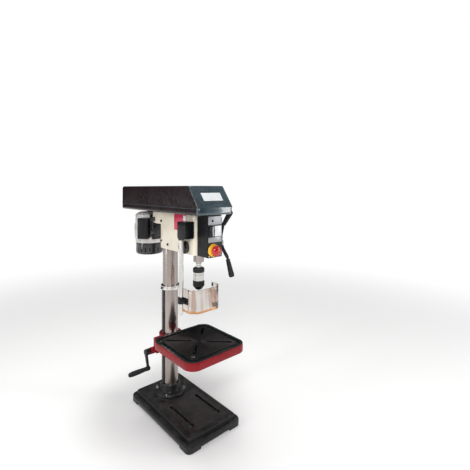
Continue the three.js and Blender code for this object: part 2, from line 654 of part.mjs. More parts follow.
function spindlePulley() {
  const bore = SPINDLE.drive + RUNNING;
  const wheel = turned(pulleyProfile(PULLEY.steps, bore), PULLEY_SIDES);
  const sleeve = ring(bore, PULLEY.sleeve, quillTop + 5, pulleyBottom + 1, PULLEY_SIDES);
  return wheel.add(sleeve);
}

function idlerPulley() {
  const steps = [...PULLEY.steps].reverse();
  return turned(pulleyProfile(steps, IDLER.shaft + GAP), PULLEY_SIDES);
}

function motorPulley() {
  const wheel = turned(pulleyProfile(PULLEY.steps, MOTOR.shaft - 1), PULLEY_SIDES);
  return wheel.add(rod(MOTOR.shaft, headTop - MOTOR.below - 2, pulleyTop + 4, PULLEY_SIDES));
}

function stepRadius(index) {
  return PULLEY.steps[index];
}

function idlerStepRadius(index) {
  return PULLEY.steps[PULLEY.steps.length - 1 - index];
}

// An outline around two circles on the Y axis, as a stretched belt lies.
function beltOutline(front, rear, offset, Kind) {
  const distance = rear.y - front.y;
  const lean = Math.asin((front.radius - rear.radius) / distance);
  const outline = new Kind();
  outline.absarc(0, rear.y, rear.radius + offset, lean, Math.PI - lean, false);
  outline.absarc(0, front.y, front.radius + offset, Math.PI - lean, 2 * Math.PI + lean, false);
  return outline;
}

function belt(front, rear, step) {
  const middle = pulleyBottom + (step + 0.5) * PULLEY.step;
  const outer = beltOutline(front, rear, BELT.outward, THREE.Shape);
  outer.holes.push(beltOutline(front, rear, -BELT.inward, THREE.Path));
  return prism(outer, middle - BELT.height / 2, middle + BELT.height / 2, 10);
}

function spindleBelt() {
  const front = { y: -COLUMN_TO_SPINDLE, radius: stepRadius(SPINDLE_BELT_STEP) };
  const rear = { y: -IDLER.y, radius: idlerStepRadius(SPINDLE_BELT_STEP) };
  return belt(front, rear, SPINDLE_BELT_STEP);
}

function motorBelt() {
  const front = { y: -IDLER.y, radius: idlerStepRadius(MOTOR_BELT_STEP) };
  const rear = { y: MOTOR.y, radius: stepRadius(MOTOR_BELT_STEP) };
  return belt(front, rear, MOTOR_BELT_STEP);
}

function pulleyBearing() {
  return ring(PULLEY.sleeve + RUNNING, QUILL.radius, headTop - 24, headTop - 2);
}

const driveGroup = section();
part('spindle_pulley', spindlePulley(), 'motorGrey', driveGroup, [0, -COLUMN_TO_SPINDLE, 0]);
part('pulley_bearing', pulleyBearing(), 'steel', driveGroup, [0, -COLUMN_TO_SPINDLE, 0]);
part('idler_pulley', idlerPulley(), 'motorGrey', driveGroup, [0, -IDLER.y, 0]);
const idlerBody = rod(IDLER.shaft, headTop - HEAD.roof + 3 + GAP, pulleyBottom - GAP, SMALL_SIDES)
  .add(rod(IDLER.shaft + 4, panBottom + PAN.floor + GAP, pulleyBottom - GAP, SMALL_SIDES))
  .add(rod(IDLER.shaft - GAP, pulleyBottom - 1, pulleyTop + 3, SMALL_SIDES));
part('idler_shaft', idlerBody, 'steel', driveGroup, [0, -IDLER.y, 0]);
part('motor_pulley', motorPulley(), 'motorGrey', driveGroup, [0, MOTOR.y, 0]);
part('spindle_belt', spindleBelt(), 'rubber', driveGroup);
part('motor_belt', motorBelt(), 'rubber', driveGroup);

// ---------- motor ----------

const motorTop = headTop - MOTOR.below;
const motorBodyTop = motorTop - MOTOR.bell;
const motorBodyBottom = motorBodyTop - MOTOR.body;

function motorBody() {
  const bore = MOTOR.shaft + 1;
  let body = turned([
    [0, motorBodyBottom], [MOTOR.radius, motorBodyBottom], [MOTOR.radius, motorBodyTop],
    [MOTOR.bellRadius, motorTop - 3], [MOTOR.bellRadius - 6, motorTop], [bore, motorTop],
    [bore, motorTop - 10], [0, motorTop - 10],
  ]);
  const footFront = motorPlateY + MOTOR_PLATE.thick + GAP - MOTOR.y;
  const footHalf = MOTOR.foot / 2;
  body = body.add(box(-footHalf, footHalf, footFront, -MOTOR.radius / 2,
    motorBodyBottom + 20, motorBodyTop - 10));
  return body;
}

function motorFanCover() {
  const wall = MOTOR.fanWall;
  const top = motorBodyBottom - GAP;
  const bottom = top - MOTOR.fanLength;
  const outer = MOTOR.fanRadius;
  return turned([
    [outer - wall, top], [outer - wall, bottom + 8], [outer - 10, bottom + wall], [14, bottom + wall],
    [14, bottom], [outer - 8, bottom], [outer, bottom + 8], [outer, top], [outer - wall, top],
  ]);
}

function motorTerminalBox() {
  const half = MOTOR_BOX.width / 2;
  const top = motorBodyTop - 14;
  let body = box(0, MOTOR.radius + MOTOR_BOX.depth, -half, half, top - MOTOR_BOX.height, top);
  body = body.subtract(rod(MOTOR.radius + MOTOR_BOX.seat, motorBodyBottom, motorTop));
  return body.rotate([0, 0, MOTOR_BOX.bearing]);
}

// The motor plate with the two bars that slide in the head's lug.
function motorSlide() {
  const half = MOTOR_PLATE.halfWidth;
  const top = motorBodyTop + 4;
  let body = box(-half, half, motorPlateY, motorPlateY + MOTOR_PLATE.thick,
    top - MOTOR_PLATE.height, top);
  for (const side of [-1, 1]) {
    const bar = rod(SLIDE_BAR.radius, -motorPlateY - 1, -SLIDE_BAR.depth);
    body = body.add(alongFront(bar, (side * SLIDE_BAR.spacing) / 2, 0, slideBarZ));
  }
  return body;
}

function tensionLever() {
  const start = SLIDE_BAR.spacing / 2 + SLIDE_BAR.radius + GAP;
  const hubStart = LUG.halfWidth + GAP;
  const stem = rod(TENSION_LEVER.radius, start, hubStart + 2, SMALL_SIDES);
  const hub = rod(TENSION_LEVER.radius + 5, hubStart, hubStart + 14, SMALL_SIDES);
  const lever = rod(4, 0, TENSION_LEVER.length, SMALL_SIDES).rotate([180, 0, 0]);
  const knob = solid(new THREE.SphereGeometry(TENSION_LEVER.knob, SMALL_SIDES, 8));
  const handle = lever.add(knob.translate([0, 0, -TENSION_LEVER.length]));
  return alongX(stem.add(hub)).add(handle.translate([hubStart + 7, 0, 0])).rotate([0, 0, 180]);
}

const motorGroup = section(0, MOTOR.y, 0);
part('motor_body', motorBody(), 'motorGrey', motorGroup);
part('motor_fan_cover', motorFanCover(), 'blackPlastic', motorGroup);
part('motor_terminal_box', motorTerminalBox(), 'blackPlastic', motorGroup);
part('motor_slide', motorSlide(), 'darkSteel', section());
part('tension_lever', tensionLever(), 'blackOxide', section(0, LUG.reach - 14, slideBarZ));

// ---------- quill, spindle and chuck, about the spindle's axis ----------

function quillBody() {
  let body = rod(QUILL.radius, 0, QUILL.length);
  body = body.subtract(rod(QUILL.bore, -OVERCUT, QUILL.length + OVERCUT, SMALL_SIDES * 1.5));
  body = body.subtract(rod(BEARING.outer + GAP, -OVERCUT, BEARING.height + GAP));
  const phase = pinionZ - quillBottom;
  const low = phase - 1.5 * PINION.pitchRadius;
  const high = phase + STROKE + 1.5 * PINION.pitchRadius;
  const teeth = rackTeeth(low, high, pinionPitch, phase, PINION.addendum, PINION.dedendum);
  const clear = QUILL.rackPitchDepth + 2;
  const cutter = prism(polygon([[clear, teeth[0][1]], ...teeth, [clear, teeth[teeth.length - 1][1]]]),
    1 - PINION.width / 2, PINION.width / 2 - 1);
  body = body.subtract(cutter.rotate([90, 0, 90]).translate([0, quillRackDepth, 0]));
  // Flanks cut back wherever the quill is wide enough to reach the pinion shaft's journals.
  const journalReach = pinionY - pinionOuter - GAP;
  const flank = PINION.width / 2 - 1 - GAP;
  for (const [from, to] of [[-QUILL.radius, -flank], [flank, QUILL.radius]]) {
    body = body.subtract(box(from, to, journalReach, QUILL.radius + OVERCUT, low, high));
  }
  return body;
}

function spindleBody() {
  const top = QUILL.length + SPINDLE.aboveQuill;
  const shoulder = QUILL.length - 6;
  return turned([
    [0, -SPINDLE.noseLength], [SPINDLE.nose - 1, -SPINDLE.noseLength], [SPINDLE.nose, -CHUCK.below + 1],
    [SPINDLE.nose, -4], [SPINDLE.radius, -3], [SPINDLE.radius, shoulder], [SPINDLE.drive, shoulder + 2],
    [SPINDLE.drive, top], [0, top],
  ], 24);
}

const chuckTop = -CHUCK.below;
const chuckSleeveTop = chuckTop - CHUCK.ringHeight;
const chuckNoseTop = chuckSleeveTop - CHUCK.sleeveHeight;
const chuckBottom = chuckNoseTop - CHUCK.noseHeight;

function chuckRing() {
  const outer = CHUCK.ring;
  const inner = SPINDLE.nose + GAP;
  const core = outer - 9;
  return turned([
    [inner, chuckTop], [inner, chuckSleeveTop - CHUCK.sleeveHeight + 3],
    [core, chuckSleeveTop - CHUCK.sleeveHeight + 3], [core, chuckSleeveTop],
    [outer, chuckSleeveTop], [outer, chuckTop - 4], [outer - 5, chuckTop], [inner, chuckTop],
  ]);
}

function chuckSleeve() {
  const inner = CHUCK.ring - 9 + RUNNING;
  return ring(inner, CHUCK.sleeve, chuckNoseTop + GAP, chuckSleeveTop - GAP);
}

function chuckNose() {
  const outer = CHUCK.ring;
  const mouth = JAWS.radius + GAP;
  return turned([
    [mouth, chuckNoseTop], [outer - 1, chuckNoseTop], [outer, chuckNoseTop - 4],
    [outer, chuckBottom + 14], [outer - 11, chuckBottom], [mouth, chuckBottom], [mouth, chuckNoseTop],
  ]);
}

// The closed jaws: three fingers that meet on the axis.
function chuckJaws() {
  const points = [];
  for (let jaw = 0; jaw < 3; jaw += 1) {
    for (const [share, radius] of [[-0.34, 1], [-0.2, JAWS.radius], [0.2, JAWS.radius], [0.34, 1]]) {
      const angle = ((jaw + share) * 2 * Math.PI) / 3;
      points.push([radius * Math.cos(angle), radius * Math.sin(angle)]);
    }
  }
  const fingers = prism(polygon(points), chuckBottom - JAWS.below, chuckNoseTop + GAP);
  const cone = turned([
    [0, chuckBottom - JAWS.below], [5, chuckBottom - JAWS.below],
    [JAWS.radius + 1, chuckBottom + 6], [JAWS.radius + 1, chuckNoseTop + 1], [0, chuckNoseTop + 1],
  ], SMALL_SIDES);
  return fingers.intersect(cone);
}

const quillGroup = section(0, -COLUMN_TO_SPINDLE, quillBottom);
part('quill', quillBody(), 'steel', quillGroup);
part('lower_bearing', ring(SPINDLE.radius + GAP, BEARING.outer, 0, BEARING.height), 'steel', quillGroup);
part('spindle', spindleBody(), 'steel', quillGroup);
part('chuck_ring', chuckRing(), 'blackOxide', quillGroup);
part('chuck_sleeve', chuckSleeve(), 'steel', quillGroup);
part('chuck_nose', chuckNose(), 'blackOxide', quillGroup);
part('chuck_jaws', chuckJaws(), 'darkSteel', quillGroup);

// ---------- feed: pinion, hub, arms, grips and return spring ----------

function pinionShaft() {
  const halfTeeth = PINION.width / 2;
  const journal = pinionOuter;
  const headHalf = HEAD.collar;
  const wheel = toothedWheel(PINION.teeth, PINION.pitchRadius - 0.1, PINION.addendum - 0.2,
    PINION.dedendum - 0.2, -halfTeeth, halfTeeth);
  let shaft = wheel.rotate([0, 0, -90]);
  for (const side of [-1, 1]) {
    const ends = [side * (halfTeeth - 1), side * (headHalf - GAP)];
    shaft = shaft.add(rod(journal, Math.min(...ends), Math.max(...ends)));
  }
  const left = -headHalf - SPRING_CAP.depth + SPRING_CAP.wall + 2;
  const right = headHalf + GAP + HUB.length - 4;
  return alongX(shaft.add(rod(HUB.shaft, left, right, SMALL_SIDES)));
}

function feedHub() {
  const start = HEAD.collar + GAP;
  const end = start + HUB.length;
  const bore = HUB.shaft + GAP;
  const body = turned([
    [bore, start], [HUB.dialRadius, start], [HUB.dialRadius, start + HUB.dialThick],
    [HUB.radius, start + HUB.dialThick], [HUB.radius, end - 3], [HUB.radius - 3, end],
    [0, end], [0, end - 3], [bore, end - 3], [bore, start],
  ], 24);
  return alongX(body);
}

const gripStart = ARM.root + 2;

// One cranked arm, standing along +Z from the hub and leaning forward past its bend.
function feedArm() {
  const bendZ = HUB.radius + GAP + ARM.rootLength;
  const root = rod(ARM.root, HUB.radius + GAP, bendZ, SMALL_SIDES);
  const elbow = solid(new THREE.SphereGeometry(ARM.root, SMALL_SIDES, 8)).translate([0, 0, bendZ]);
  const tipLength = gripStart + GRIP.length - GRIP.roof - GAP;
  const tip = rod(ARM.tip, 0, tipLength, SMALL_SIDES).rotate([ARM.bend, 0, 0]);
  return root.add(elbow).add(tip.translate([0, 0, bendZ]));
}

function feedGrip() {
  const bendZ = HUB.radius + GAP + ARM.rootLength;
  const bore = ARM.tip + GAP;
  const end = gripStart + GRIP.length;
  const body = turned([
    [bore, gripStart], [GRIP.radius - 4, gripStart], [GRIP.radius - 2, gripStart + 10],
    [GRIP.radius, end - 14], [GRIP.end, end - 1], [0, end], [0, end - GRIP.roof],
    [bore, end - GRIP.roof], [bore, gripStart],
  ], SMALL_SIDES);
  return body.rotate([ARM.bend, 0, 0]).translate([0, 0, bendZ]);
}

function springCap() {
  const { radius, depth, wall } = SPRING_CAP;
  const profile = [
    [0, depth], [0, depth - wall], [radius - wall, depth - wall], [radius - wall, 0],
    [radius, 0], [radius, depth - 3], [radius - 3, depth], [0, depth],
  ];
  return turned(profile, 24).rotate([0, -90, 0]);
}

// A flat spiral strip that winds from the shaft out to the cap's wall.
function returnSpring() {
  const steps = SPRING.turns * 12;
  const outside = [];
  const inside = [];
  for (let step = 0; step <= steps; step += 1) {
    const angle = (step / 12) * 2 * Math.PI;
    const radius = SPRING.inner + ((SPRING.outer - SPRING.inner) * step) / steps;
    outside.push([(radius + SPRING.thick) * Math.cos(angle), (radius + SPRING.thick) * Math.sin(angle)]);
    inside.unshift([radius * Math.cos(angle), radius * Math.sin(angle)]);
  }
  return prism(polygon([...outside, ...inside]), 0, SPRING.width).rotate([0, -90, 0]);
}

const feedGroup = section(0, -COLUMN_TO_SPINDLE + pinionY, pinionZ);
part('pinion_shaft', pinionShaft(), 'darkSteel', feedGroup);
part('feed_hub', feedHub(), 'panelGrey', feedGroup);
for (let index = 0; index < ARM.count; index += 1) {
  const angle = THREE.MathUtils.degToRad(ARM.firstAngle + (360 / ARM.count) * index);
  const arm = part(`feed_arm_${index + 1}`, feedArm(), 'blackOxide', feedGroup, [HUB.armX, 0, 0]);
  const grip = part(`feed_grip_${index + 1}`, feedGrip(), 'rubber', feedGroup, [HUB.armX, 0, 0]);
  arm.rotation.x = angle;
  grip.rotation.x = angle;
}
part('return_spring_cap', springCap(), 'blackPlastic', feedGroup, [-HEAD.collar - GAP, 0, 0]);
part('return_spring', returnSpring(), 'darkSteel', feedGroup, [-HEAD.collar - GAP - 3, 0, 0]);

// ---------- chuck guard ----------

const guardBoxX = -HEAD.collar - GAP;
const guardBoxNear = COLUMN_TO_SPINDLE - GUARD_BOX.behindSpindle;
const guardTubeX = guardBoxX - GUARD_TUBE.fromHead;
const guardTubeY = -guardBoxNear - GUARD_TUBE.fromNear;
const guardBoxBottom = headTop - GUARD_BOX.below - GUARD_BOX.height;
const guardTubeTop = guardBoxBottom + GUARD_TUBE.socket - GAP;
const guardTubeBottom = guardTubeTop - GUARD_TUBE.length;
const shieldBottom = guardTubeBottom + SHIELD.lift;
const shieldTop = shieldBottom + SHIELD.height;

function guardSwitchBox() {
  const body = box(guardBoxX - GUARD_BOX.depth, guardBoxX, -guardBoxNear - GUARD_BOX.width,
    -guardBoxNear, guardBoxBottom, guardBoxBottom + GUARD_BOX.height);
  const socket = rod(GUARD_TUBE.radius + RUNNING, guardBoxBottom - OVERCUT,
    guardBoxBottom + GUARD_TUBE.socket, 24);
  return body.subtract(socket.translate([guardTubeX, guardTubeY, 0]));
}

function shieldOutline(distance) {
  const left = -SHIELD.left + distance;
  const right = SHIELD.right - distance;
  const front = -SHIELD.front + distance;
  const cut = SHIELD.chamfer - distance * 0.4;
  return [[left, front + cut], [left + cut, front], [right - cut, front], [right, front + cut]];
}

// A clear three-sided shield, open at the back, about the spindle's axis.
function guardShield() {
  const outer = shieldOutline(0);
  const inner = shieldOutline(SHIELD.thick).reverse();
  const back = SHIELD.back;
  const outline = [
    [-SHIELD.left, back], ...outer, [SHIELD.right, back],
    [SHIELD.right - SHIELD.thick, back], ...inner, [-SHIELD.left + SHIELD.thick, back],
  ];
  return prism(polygon(outline), shieldBottom, shieldTop);
}

// The collar that carries the shield on its tube.
function guardClamp() {
  const z0 = (shieldBottom + shieldTop - GUARD_CLAMP.height) / 2;
  const z1 = z0 + GUARD_CLAMP.height;
  const shieldX = -SHIELD.left - guardTubeX;
  const shieldY = -COLUMN_TO_SPINDLE - guardTubeY;
  let body = rod(GUARD_CLAMP.radius, z0, z1, 20);
  body = body.subtract(box(shieldX - GAP, GUARD_CLAMP.radius * 3, -99, 99, z0 - 1, z1 + 1));
  const tab = box(shieldX - 5, shieldX - GAP, shieldY - 24, shieldY + SHIELD.back, z0, z1);
  return body.add(tab).subtract(rod(GUARD_TUBE.radius + GAP, z0 - 1, z1 + 1, 20));
}

const guardGroup = section();
part('guard_switch_box', guardSwitchBox(), 'blackPlastic', guardGroup);
const guardTubeBody = ring(GUARD_TUBE.radius - 2, GUARD_TUBE.radius, guardTubeBottom, guardTubeTop, 24);
part('guard_tube', guardTubeBody, 'steel', guardGroup, [guardTubeX, guardTubeY, 0]);
part('guard_clamp', guardClamp(), 'blackPlastic', guardGroup, [guardTubeX, guardTubeY, 0]);
part('guard_shield', guardShield(), 'clear', guardGroup, [0, -COLUMN_TO_SPINDLE, 0]);

// ---------- control box ----------

const controlBack = -headFront - GAP;
const controlFront = controlBack - CONTROL.depth;
const panelFront = controlFront - GAP - CONTROL.panel;
const controlTop = headTop - 1;
const controlBottom = controlTop - CONTROL.height;
const estopZ = controlBottom + ESTOP.above;
const switchZ = controlBottom + SWITCH.above;

function controlBox() {
  const half = CONTROL.width / 2;
  const { wall } = CONTROL;
  let body = box(-half, half, controlFront, controlBack, controlBottom, controlTop);
  body = body.subtract(box(-half + wall, half - wall, controlFront - OVERCUT, controlBack - wall,
    controlBottom + wall, controlTop - wall));
  const glandHole = rod(GLAND.radius - 2 + GAP, half - wall - OVERCUT, half + OVERCUT, SMALL_SIDES);
  return body.subtract(alongX(glandHole, 0, controlBack - GLAND.back, controlBottom + GLAND.above));
}

function controlPanel() {
  const half = CONTROL.width / 2;
  let body = box(-half, half, panelFront, controlFront - GAP, controlBottom, controlTop);
  body = body.subtract(box(SWITCH.x - SWITCH.width / 2, SWITCH.x + SWITCH.width / 2,
    panelFront - OVERCUT, controlFront + OVERCUT, switchZ - SWITCH.height / 2, switchZ + SWITCH.height / 2));
  const stemHole = rod(ESTOP.stem + RUNNING, -controlFront - OVERCUT, -panelFront + OVERCUT, SMALL_SIDES);
  return body.subtract(alongFront(stemHole, ESTOP.x, 0, estopZ));
}

// A rocker with a shallow V face, which tips about a pin behind the panel.
function powerSwitch() {
  const half = SWITCH.height / 2 - 2.5;
  const { proud, depth } = SWITCH;
  const outline = polygon([
    [-half + 3, depth - proud], [-half, -proud], [0, -proud + 3], [half, -proud],
    [half - 3, depth - proud],
  ]);
  const reach = SWITCH.width / 2 - 0.8;
  return prism(outline, -reach, reach).rotate([0, -90, 0]);
}

function estopButton() {
  const face = ESTOP.ringThick + GAP;
  const capStart = face + ESTOP.travel + 1;
  const body = turned([
    [0, -CONTROL.panel - 12], [ESTOP.stem, -CONTROL.panel - 12], [ESTOP.stem, capStart],
    [ESTOP.cap - 2, capStart], [ESTOP.cap, capStart + 4], [ESTOP.cap - 3, capStart + 11],
    [ESTOP.cap - 12, capStart + ESTOP.capThick], [0, capStart + ESTOP.capThick + 1],
  ], 24);
  return alongFront(body);
}

function cordGland() {
  const half = CONTROL.width / 2;
  const body = turned([
    [GLAND.bore, half - CONTROL.wall - 6], [GLAND.radius - 2, half - CONTROL.wall - 6],
    [GLAND.radius - 2, half + GAP], [GLAND.nut, half + GAP], [GLAND.nut, half + 7],
    [GLAND.radius, half + 8], [GLAND.radius - 3, half + GLAND.length], [GLAND.bore, half + GLAND.length],
    [GLAND.bore, half - CONTROL.wall - 6],
  ], 12);
  return alongX(body);
}

const controlGroup = section();
part('control_box', controlBox(), 'blackPlastic', controlGroup);
part('control_panel', controlPanel(), 'panelGrey', controlGroup);
part('power_switch', powerSwitch(), 'blackPlastic', controlGroup, [SWITCH.x, panelFront, switchZ]);
const estopRing = alongFront(ring(ESTOP.stem + RUNNING, ESTOP.ring, GAP, ESTOP.ringThick, 24));
part('estop_ring', estopRing, 'yellow', controlGroup, [ESTOP.x, panelFront, estopZ]);
part('estop_button', estopButton(), 'buttonRed', controlGroup, [ESTOP.x, panelFront, estopZ]);
const glandPlace = [0, controlBack - GLAND.back, controlBottom + GLAND.above];
part('cord_gland', cordGland(), 'blackPlastic', controlGroup, glandPlace);

// ---------- the whole press stands with the middle of its footprint on the origin ----------

const bounds = new THREE.Box3().setFromObject(drillPress);
const middle = bounds.getCenter(new THREE.Vector3());
drillPress.position.set(-middle.x, -middle.y, -bounds.min.z);
drillPress.updateMatrixWorld(true);

export default drillPress;
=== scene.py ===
"""A bench drill press: its looks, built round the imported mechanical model."""

import json
import math
from contextlib import contextmanager

import bmesh
import bpy
from mathutils import Matrix, Vector

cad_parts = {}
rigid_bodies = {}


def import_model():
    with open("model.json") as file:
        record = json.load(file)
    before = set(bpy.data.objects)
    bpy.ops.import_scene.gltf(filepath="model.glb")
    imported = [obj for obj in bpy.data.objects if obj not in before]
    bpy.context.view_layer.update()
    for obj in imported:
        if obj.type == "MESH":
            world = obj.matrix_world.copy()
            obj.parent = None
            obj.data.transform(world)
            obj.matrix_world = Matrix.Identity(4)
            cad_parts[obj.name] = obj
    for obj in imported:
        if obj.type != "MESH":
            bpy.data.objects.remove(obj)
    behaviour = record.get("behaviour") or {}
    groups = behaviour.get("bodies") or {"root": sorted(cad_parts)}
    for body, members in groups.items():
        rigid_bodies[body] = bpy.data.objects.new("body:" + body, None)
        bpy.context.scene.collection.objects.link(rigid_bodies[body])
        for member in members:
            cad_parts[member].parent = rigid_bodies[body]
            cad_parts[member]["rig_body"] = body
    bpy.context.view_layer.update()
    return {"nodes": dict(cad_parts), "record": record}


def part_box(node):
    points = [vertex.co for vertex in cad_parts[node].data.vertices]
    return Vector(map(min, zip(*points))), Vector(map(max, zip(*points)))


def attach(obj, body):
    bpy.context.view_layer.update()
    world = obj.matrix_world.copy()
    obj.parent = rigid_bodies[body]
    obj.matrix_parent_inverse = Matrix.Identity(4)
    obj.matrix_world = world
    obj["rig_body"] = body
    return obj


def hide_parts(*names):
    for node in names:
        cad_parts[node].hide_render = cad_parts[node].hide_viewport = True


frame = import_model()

bl_info = {
    "name": "Bench Drill Press",
    "version": (1, 0, 0),
    "blender": (4, 5, 0),
    "location": "View3D > Sidebar > Drill Press",
    "description": "Builds the castings, covers, controls and finishes of a bench drill press",
    "category": "Add Mesh",
}

MM = 0.001
SLOT_OF = {part["node"]: part["material_slot"] for part in frame["record"]["subparts"]}


# ---------- places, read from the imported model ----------


def low(node):
    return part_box(node)[0]


def high(node):
    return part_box(node)[1]


def middle(node):
    return (low(node) + high(node)) / 2


def body_of(node):
    return frame["nodes"][node]["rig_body"]


COLUMN = middle("column")
SPINDLE = middle("spindle")
FEED = middle("feed_hub")
ON_COLUMN = (COLUMN.x, COLUMN.y, 0)
ON_SPINDLE = (SPINDLE.x, SPINDLE.y, 0)


# ---------- the user's settings ----------


def length(name, text, value):
    return bpy.props.FloatProperty(
        name=name, description=text, default=value, min=0.0, unit="LENGTH", precision=4
    )


def colour(name, text, value):
    return bpy.props.FloatVectorProperty(
        name=name, description=text, default=value, size=3, min=0.0, max=1.0, subtype="COLOR"
    )


def count(name, text, value, lowest):
    return bpy.props.IntProperty(name=name, description=text, default=value, min=lowest)


def share(name, text, value):
    return bpy.props.FloatProperty(
        name=name, description=text, default=value, min=0.0, max=1.0, subtype="FACTOR"
    )


class DrillPressSizes(bpy.types.PropertyGroup):
    """Sizes of the details that the mechanical model leaves plain."""

    round_sides: count("Round sides", "Sides of a turned piece", 72, 12)
    small_sides: count("Small sides", "Sides of a screw or a small turned piece", 24, 8)
    casting_edge: length("Casting edge", "Rounding on the edges of cast pieces", 2.2 * MM)
    sheet_edge: length("Sheet edge", "Rounding on the edges of the belt cover", 5 * MM)
    box_edge: length("Box edge", "Rounding on the edges of the plastic boxes", 3 * MM)
    fine_edge: length("Fine edge", "Chamfer on machined edges", 0.6 * MM)
    base_skirt: length("Base skirt", "Height of the base's lower step", 30 * MM)
    base_step: length("Base step", "Width of the base's lower step", 24 * MM)
    base_corner: length("Base corner", "Corner radius of the base", 22 * MM)
    base_foot: length("Base foot", "Length of each corner foot", 62 * MM)
    slot_offset: length("Slot offset", "Distance of a base slot from the middle", 68 * MM)
    slot_near: length("Slot start", "Distance from the column to a base slot", 110 * MM)
    slot_length: length("Slot length", "Length of a base slot", 178 * MM)
    slot_width: length("Slot width", "Width of the slots in the base and table", 13.6 * MM)
    slot_eye: length("Slot eye", "Radius of the round end of a base slot", 11 * MM)
    table_corner: length("Table corner", "Corner radius of the table", 48 * MM)
    table_rim: length("Table rim", "Width of the table's raised rim", 11 * MM)
    table_trough: length("Table trough", "Width of the coolant trough", 16 * MM)
    table_height: length("Table height", "Height of the table's wall", 32 * MM)
    cover_corner: length("Cover corner", "Corner radius of the belt cover", 14 * MM)
    cover_slope: length("Cover slope", "How far the cover's front leans back", 66 * MM)
    cover_wall: length("Cover wall", "Thickness of the cover's sheet", 2.4 * MM)
    label_width: length("Label width", "Width of the blank label on the cover", 100 * MM)
    label_height: length("Label height", "Height of the blank label on the cover", 40 * MM)
    chuck_ridges: count("Chuck ridges", "Grip ridges round the chuck", 24, 8)
    grip_ribs: count("Grip ribs", "Ribs along each rubber grip", 5, 1)
    motor_ribs: count("Motor slots", "Air slots round the fan cover", 20, 4)


class DrillPressColours(bpy.types.PropertyGroup):
    """Colours of the finishes."""

    cast_black: colour("Cast black", "Paint on the base", (0.0050, 0.0052, 0.0062))
    machined: colour("Machined iron", "Bare machined iron", (0.060, 0.052, 0.053))
    ground_steel: colour("Ground steel", "Ground steel of the column and quill",
                         (0.40, 0.345, 0.32))
    dark_steel: colour("Dark steel", "Darkened steel", (0.17, 0.165, 0.165))
    black_oxide: colour("Black oxide", "Black finish of the chuck and arms", (0.013, 0.013, 0.015))
    red_paint: colour("Red enamel", "Paint on the table and its bracket", (0.24, 0.0045, 0.010))
    cream_paint: colour("Cream enamel", "Paint on the head", (0.80, 0.73, 0.60))
    cover_black: colour("Cover black", "Paint on the belt cover", (0.0125, 0.0048, 0.0065))
    motor_grey: colour("Motor grey", "Paint on the motor", (0.62, 0.60, 0.58))
    black_plastic: colour("Black plastic", "Moulded covers and boxes", (0.0050, 0.0053, 0.0066))
    rubber: colour("Rubber", "Grips and belts", (0.014, 0.014, 0.015))
    panel_grey: colour("Panel grey", "Control panel plates", (0.36, 0.38, 0.39))
    yellow_plastic: colour("Yellow plastic", "Ring behind the stop button", (0.80, 0.42, 0.02))
    red_plastic: colour("Red plastic", "Stop button", (0.50, 0.012, 0.012))
    clear_plastic: colour("Clear plastic", "Chuck guard", (0.84, 0.80, 0.76))
    label_white: colour("Label white", "Blank labels", (0.82, 0.85, 0.86))
    label_red: colour("Label red", "Blank plate on the head", (0.55, 0.03, 0.08))
    wear: share("Wear", "How much the edges are worn", 0.35)
    dust: share("Dust", "How much dust lies on faces that look up", 0.12)


class DrillPressStudio(bpy.types.PropertyGroup):
    """Camera, floor and lights."""

    floor: colour("Floor", "Colour of the floor", (0.90, 0.895, 0.89))
    floor_size: length("Floor size", "Width of the floor", 14.0)
    lens: bpy.props.FloatProperty(
        name="Lens", description="Focal length in millimetres", default=26.48, min=1.0
    )
    turn: bpy.props.FloatProperty(
        name="Camera turn", description="Angle of the view to the left of the front",
        default=math.radians(41.9), subtype="ANGLE",
    )
    shift: bpy.props.FloatProperty(name="Shift", description="Lens shift upwards", default=-0.100)
    place: bpy.props.FloatVectorProperty(
        name="Camera place", description="Where the camera stands", size=3,
        default=(-0.8526, -1.4451, 1.0275), subtype="TRANSLATION",
    )
    key: bpy.props.FloatProperty(name="Key", description="Power of the key light", default=38.0)
    fill: bpy.props.FloatProperty(name="Fill", description="Power of the fill light", default=16.0)
    sky: bpy.props.FloatProperty(name="Sky", description="Strength of the white room",
                                 default=0.22)


def sizes():
    return bpy.context.scene.drill_sizes


def colours():
    return bpy.context.scene.drill_colours


# ---------- tools for modelling ----------


def lay_down_tools():
    """Object mode with nothing selected."""
    if bpy.context.object and bpy.context.object.mode != "OBJECT":
        bpy.ops.object.mode_set(mode="OBJECT")
    bpy.ops.object.select_all(action="DESELECT")


def pick(obj):
    lay_down_tools()
    obj.select_set(True)
    bpy.context.view_layer.objects.active = obj


def named(name):
    obj = bpy.context.object
    obj.name = name
    obj.data.name = name
    return obj


def settle():
    """Puts the active object's place into its mesh."""
    bpy.ops.object.transform_apply(location=True, rotation=True, scale=True)


@contextmanager
def editing(obj, kind="VERT"):
    pick(obj)
    bpy.ops.object.mode_set(mode="EDIT")
    bpy.ops.mesh.select_mode(type=kind)
    bpy.ops.mesh.select_all(action="DESELECT")
    yield
    bpy.ops.object.mode_set(mode="OBJECT")


def choose(obj, kind, test):
    """Selects what passes test(middle, direction), a face's normal or an edge's run."""
    bpy.ops.mesh.select_mode(type=kind)
    bpy.ops.mesh.select_all(action="DESELECT")
    mesh = bmesh.from_edit_mesh(obj.data)
    if kind == "FACE":
        for face in mesh.faces:
            face.select_set(test(face.calc_center_median(), face.normal))
    elif kind == "EDGE":
        for edge in mesh.edges:
            a, b = (v.co for v in edge.verts)
            edge.select_set(test((a + b) / 2, (b - a).normalized()))
    else:
        for vertex in mesh.verts:
            vertex.select_set(test(vertex.co, vertex.normal))
    mesh.select_flush_mode()
    bmesh.update_edit_mesh(obj.data)


def block(name, lowest, highest):
    """A box between two corners."""
    lay_down_tools()
    lowest, highest = Vector(lowest), Vector(highest)
    bpy.ops.mesh.primitive_cube_add(size=1, location=(lowest + highest) / 2)
    obj = named(name)
    obj.scale = highest - lowest
    settle()
    return obj


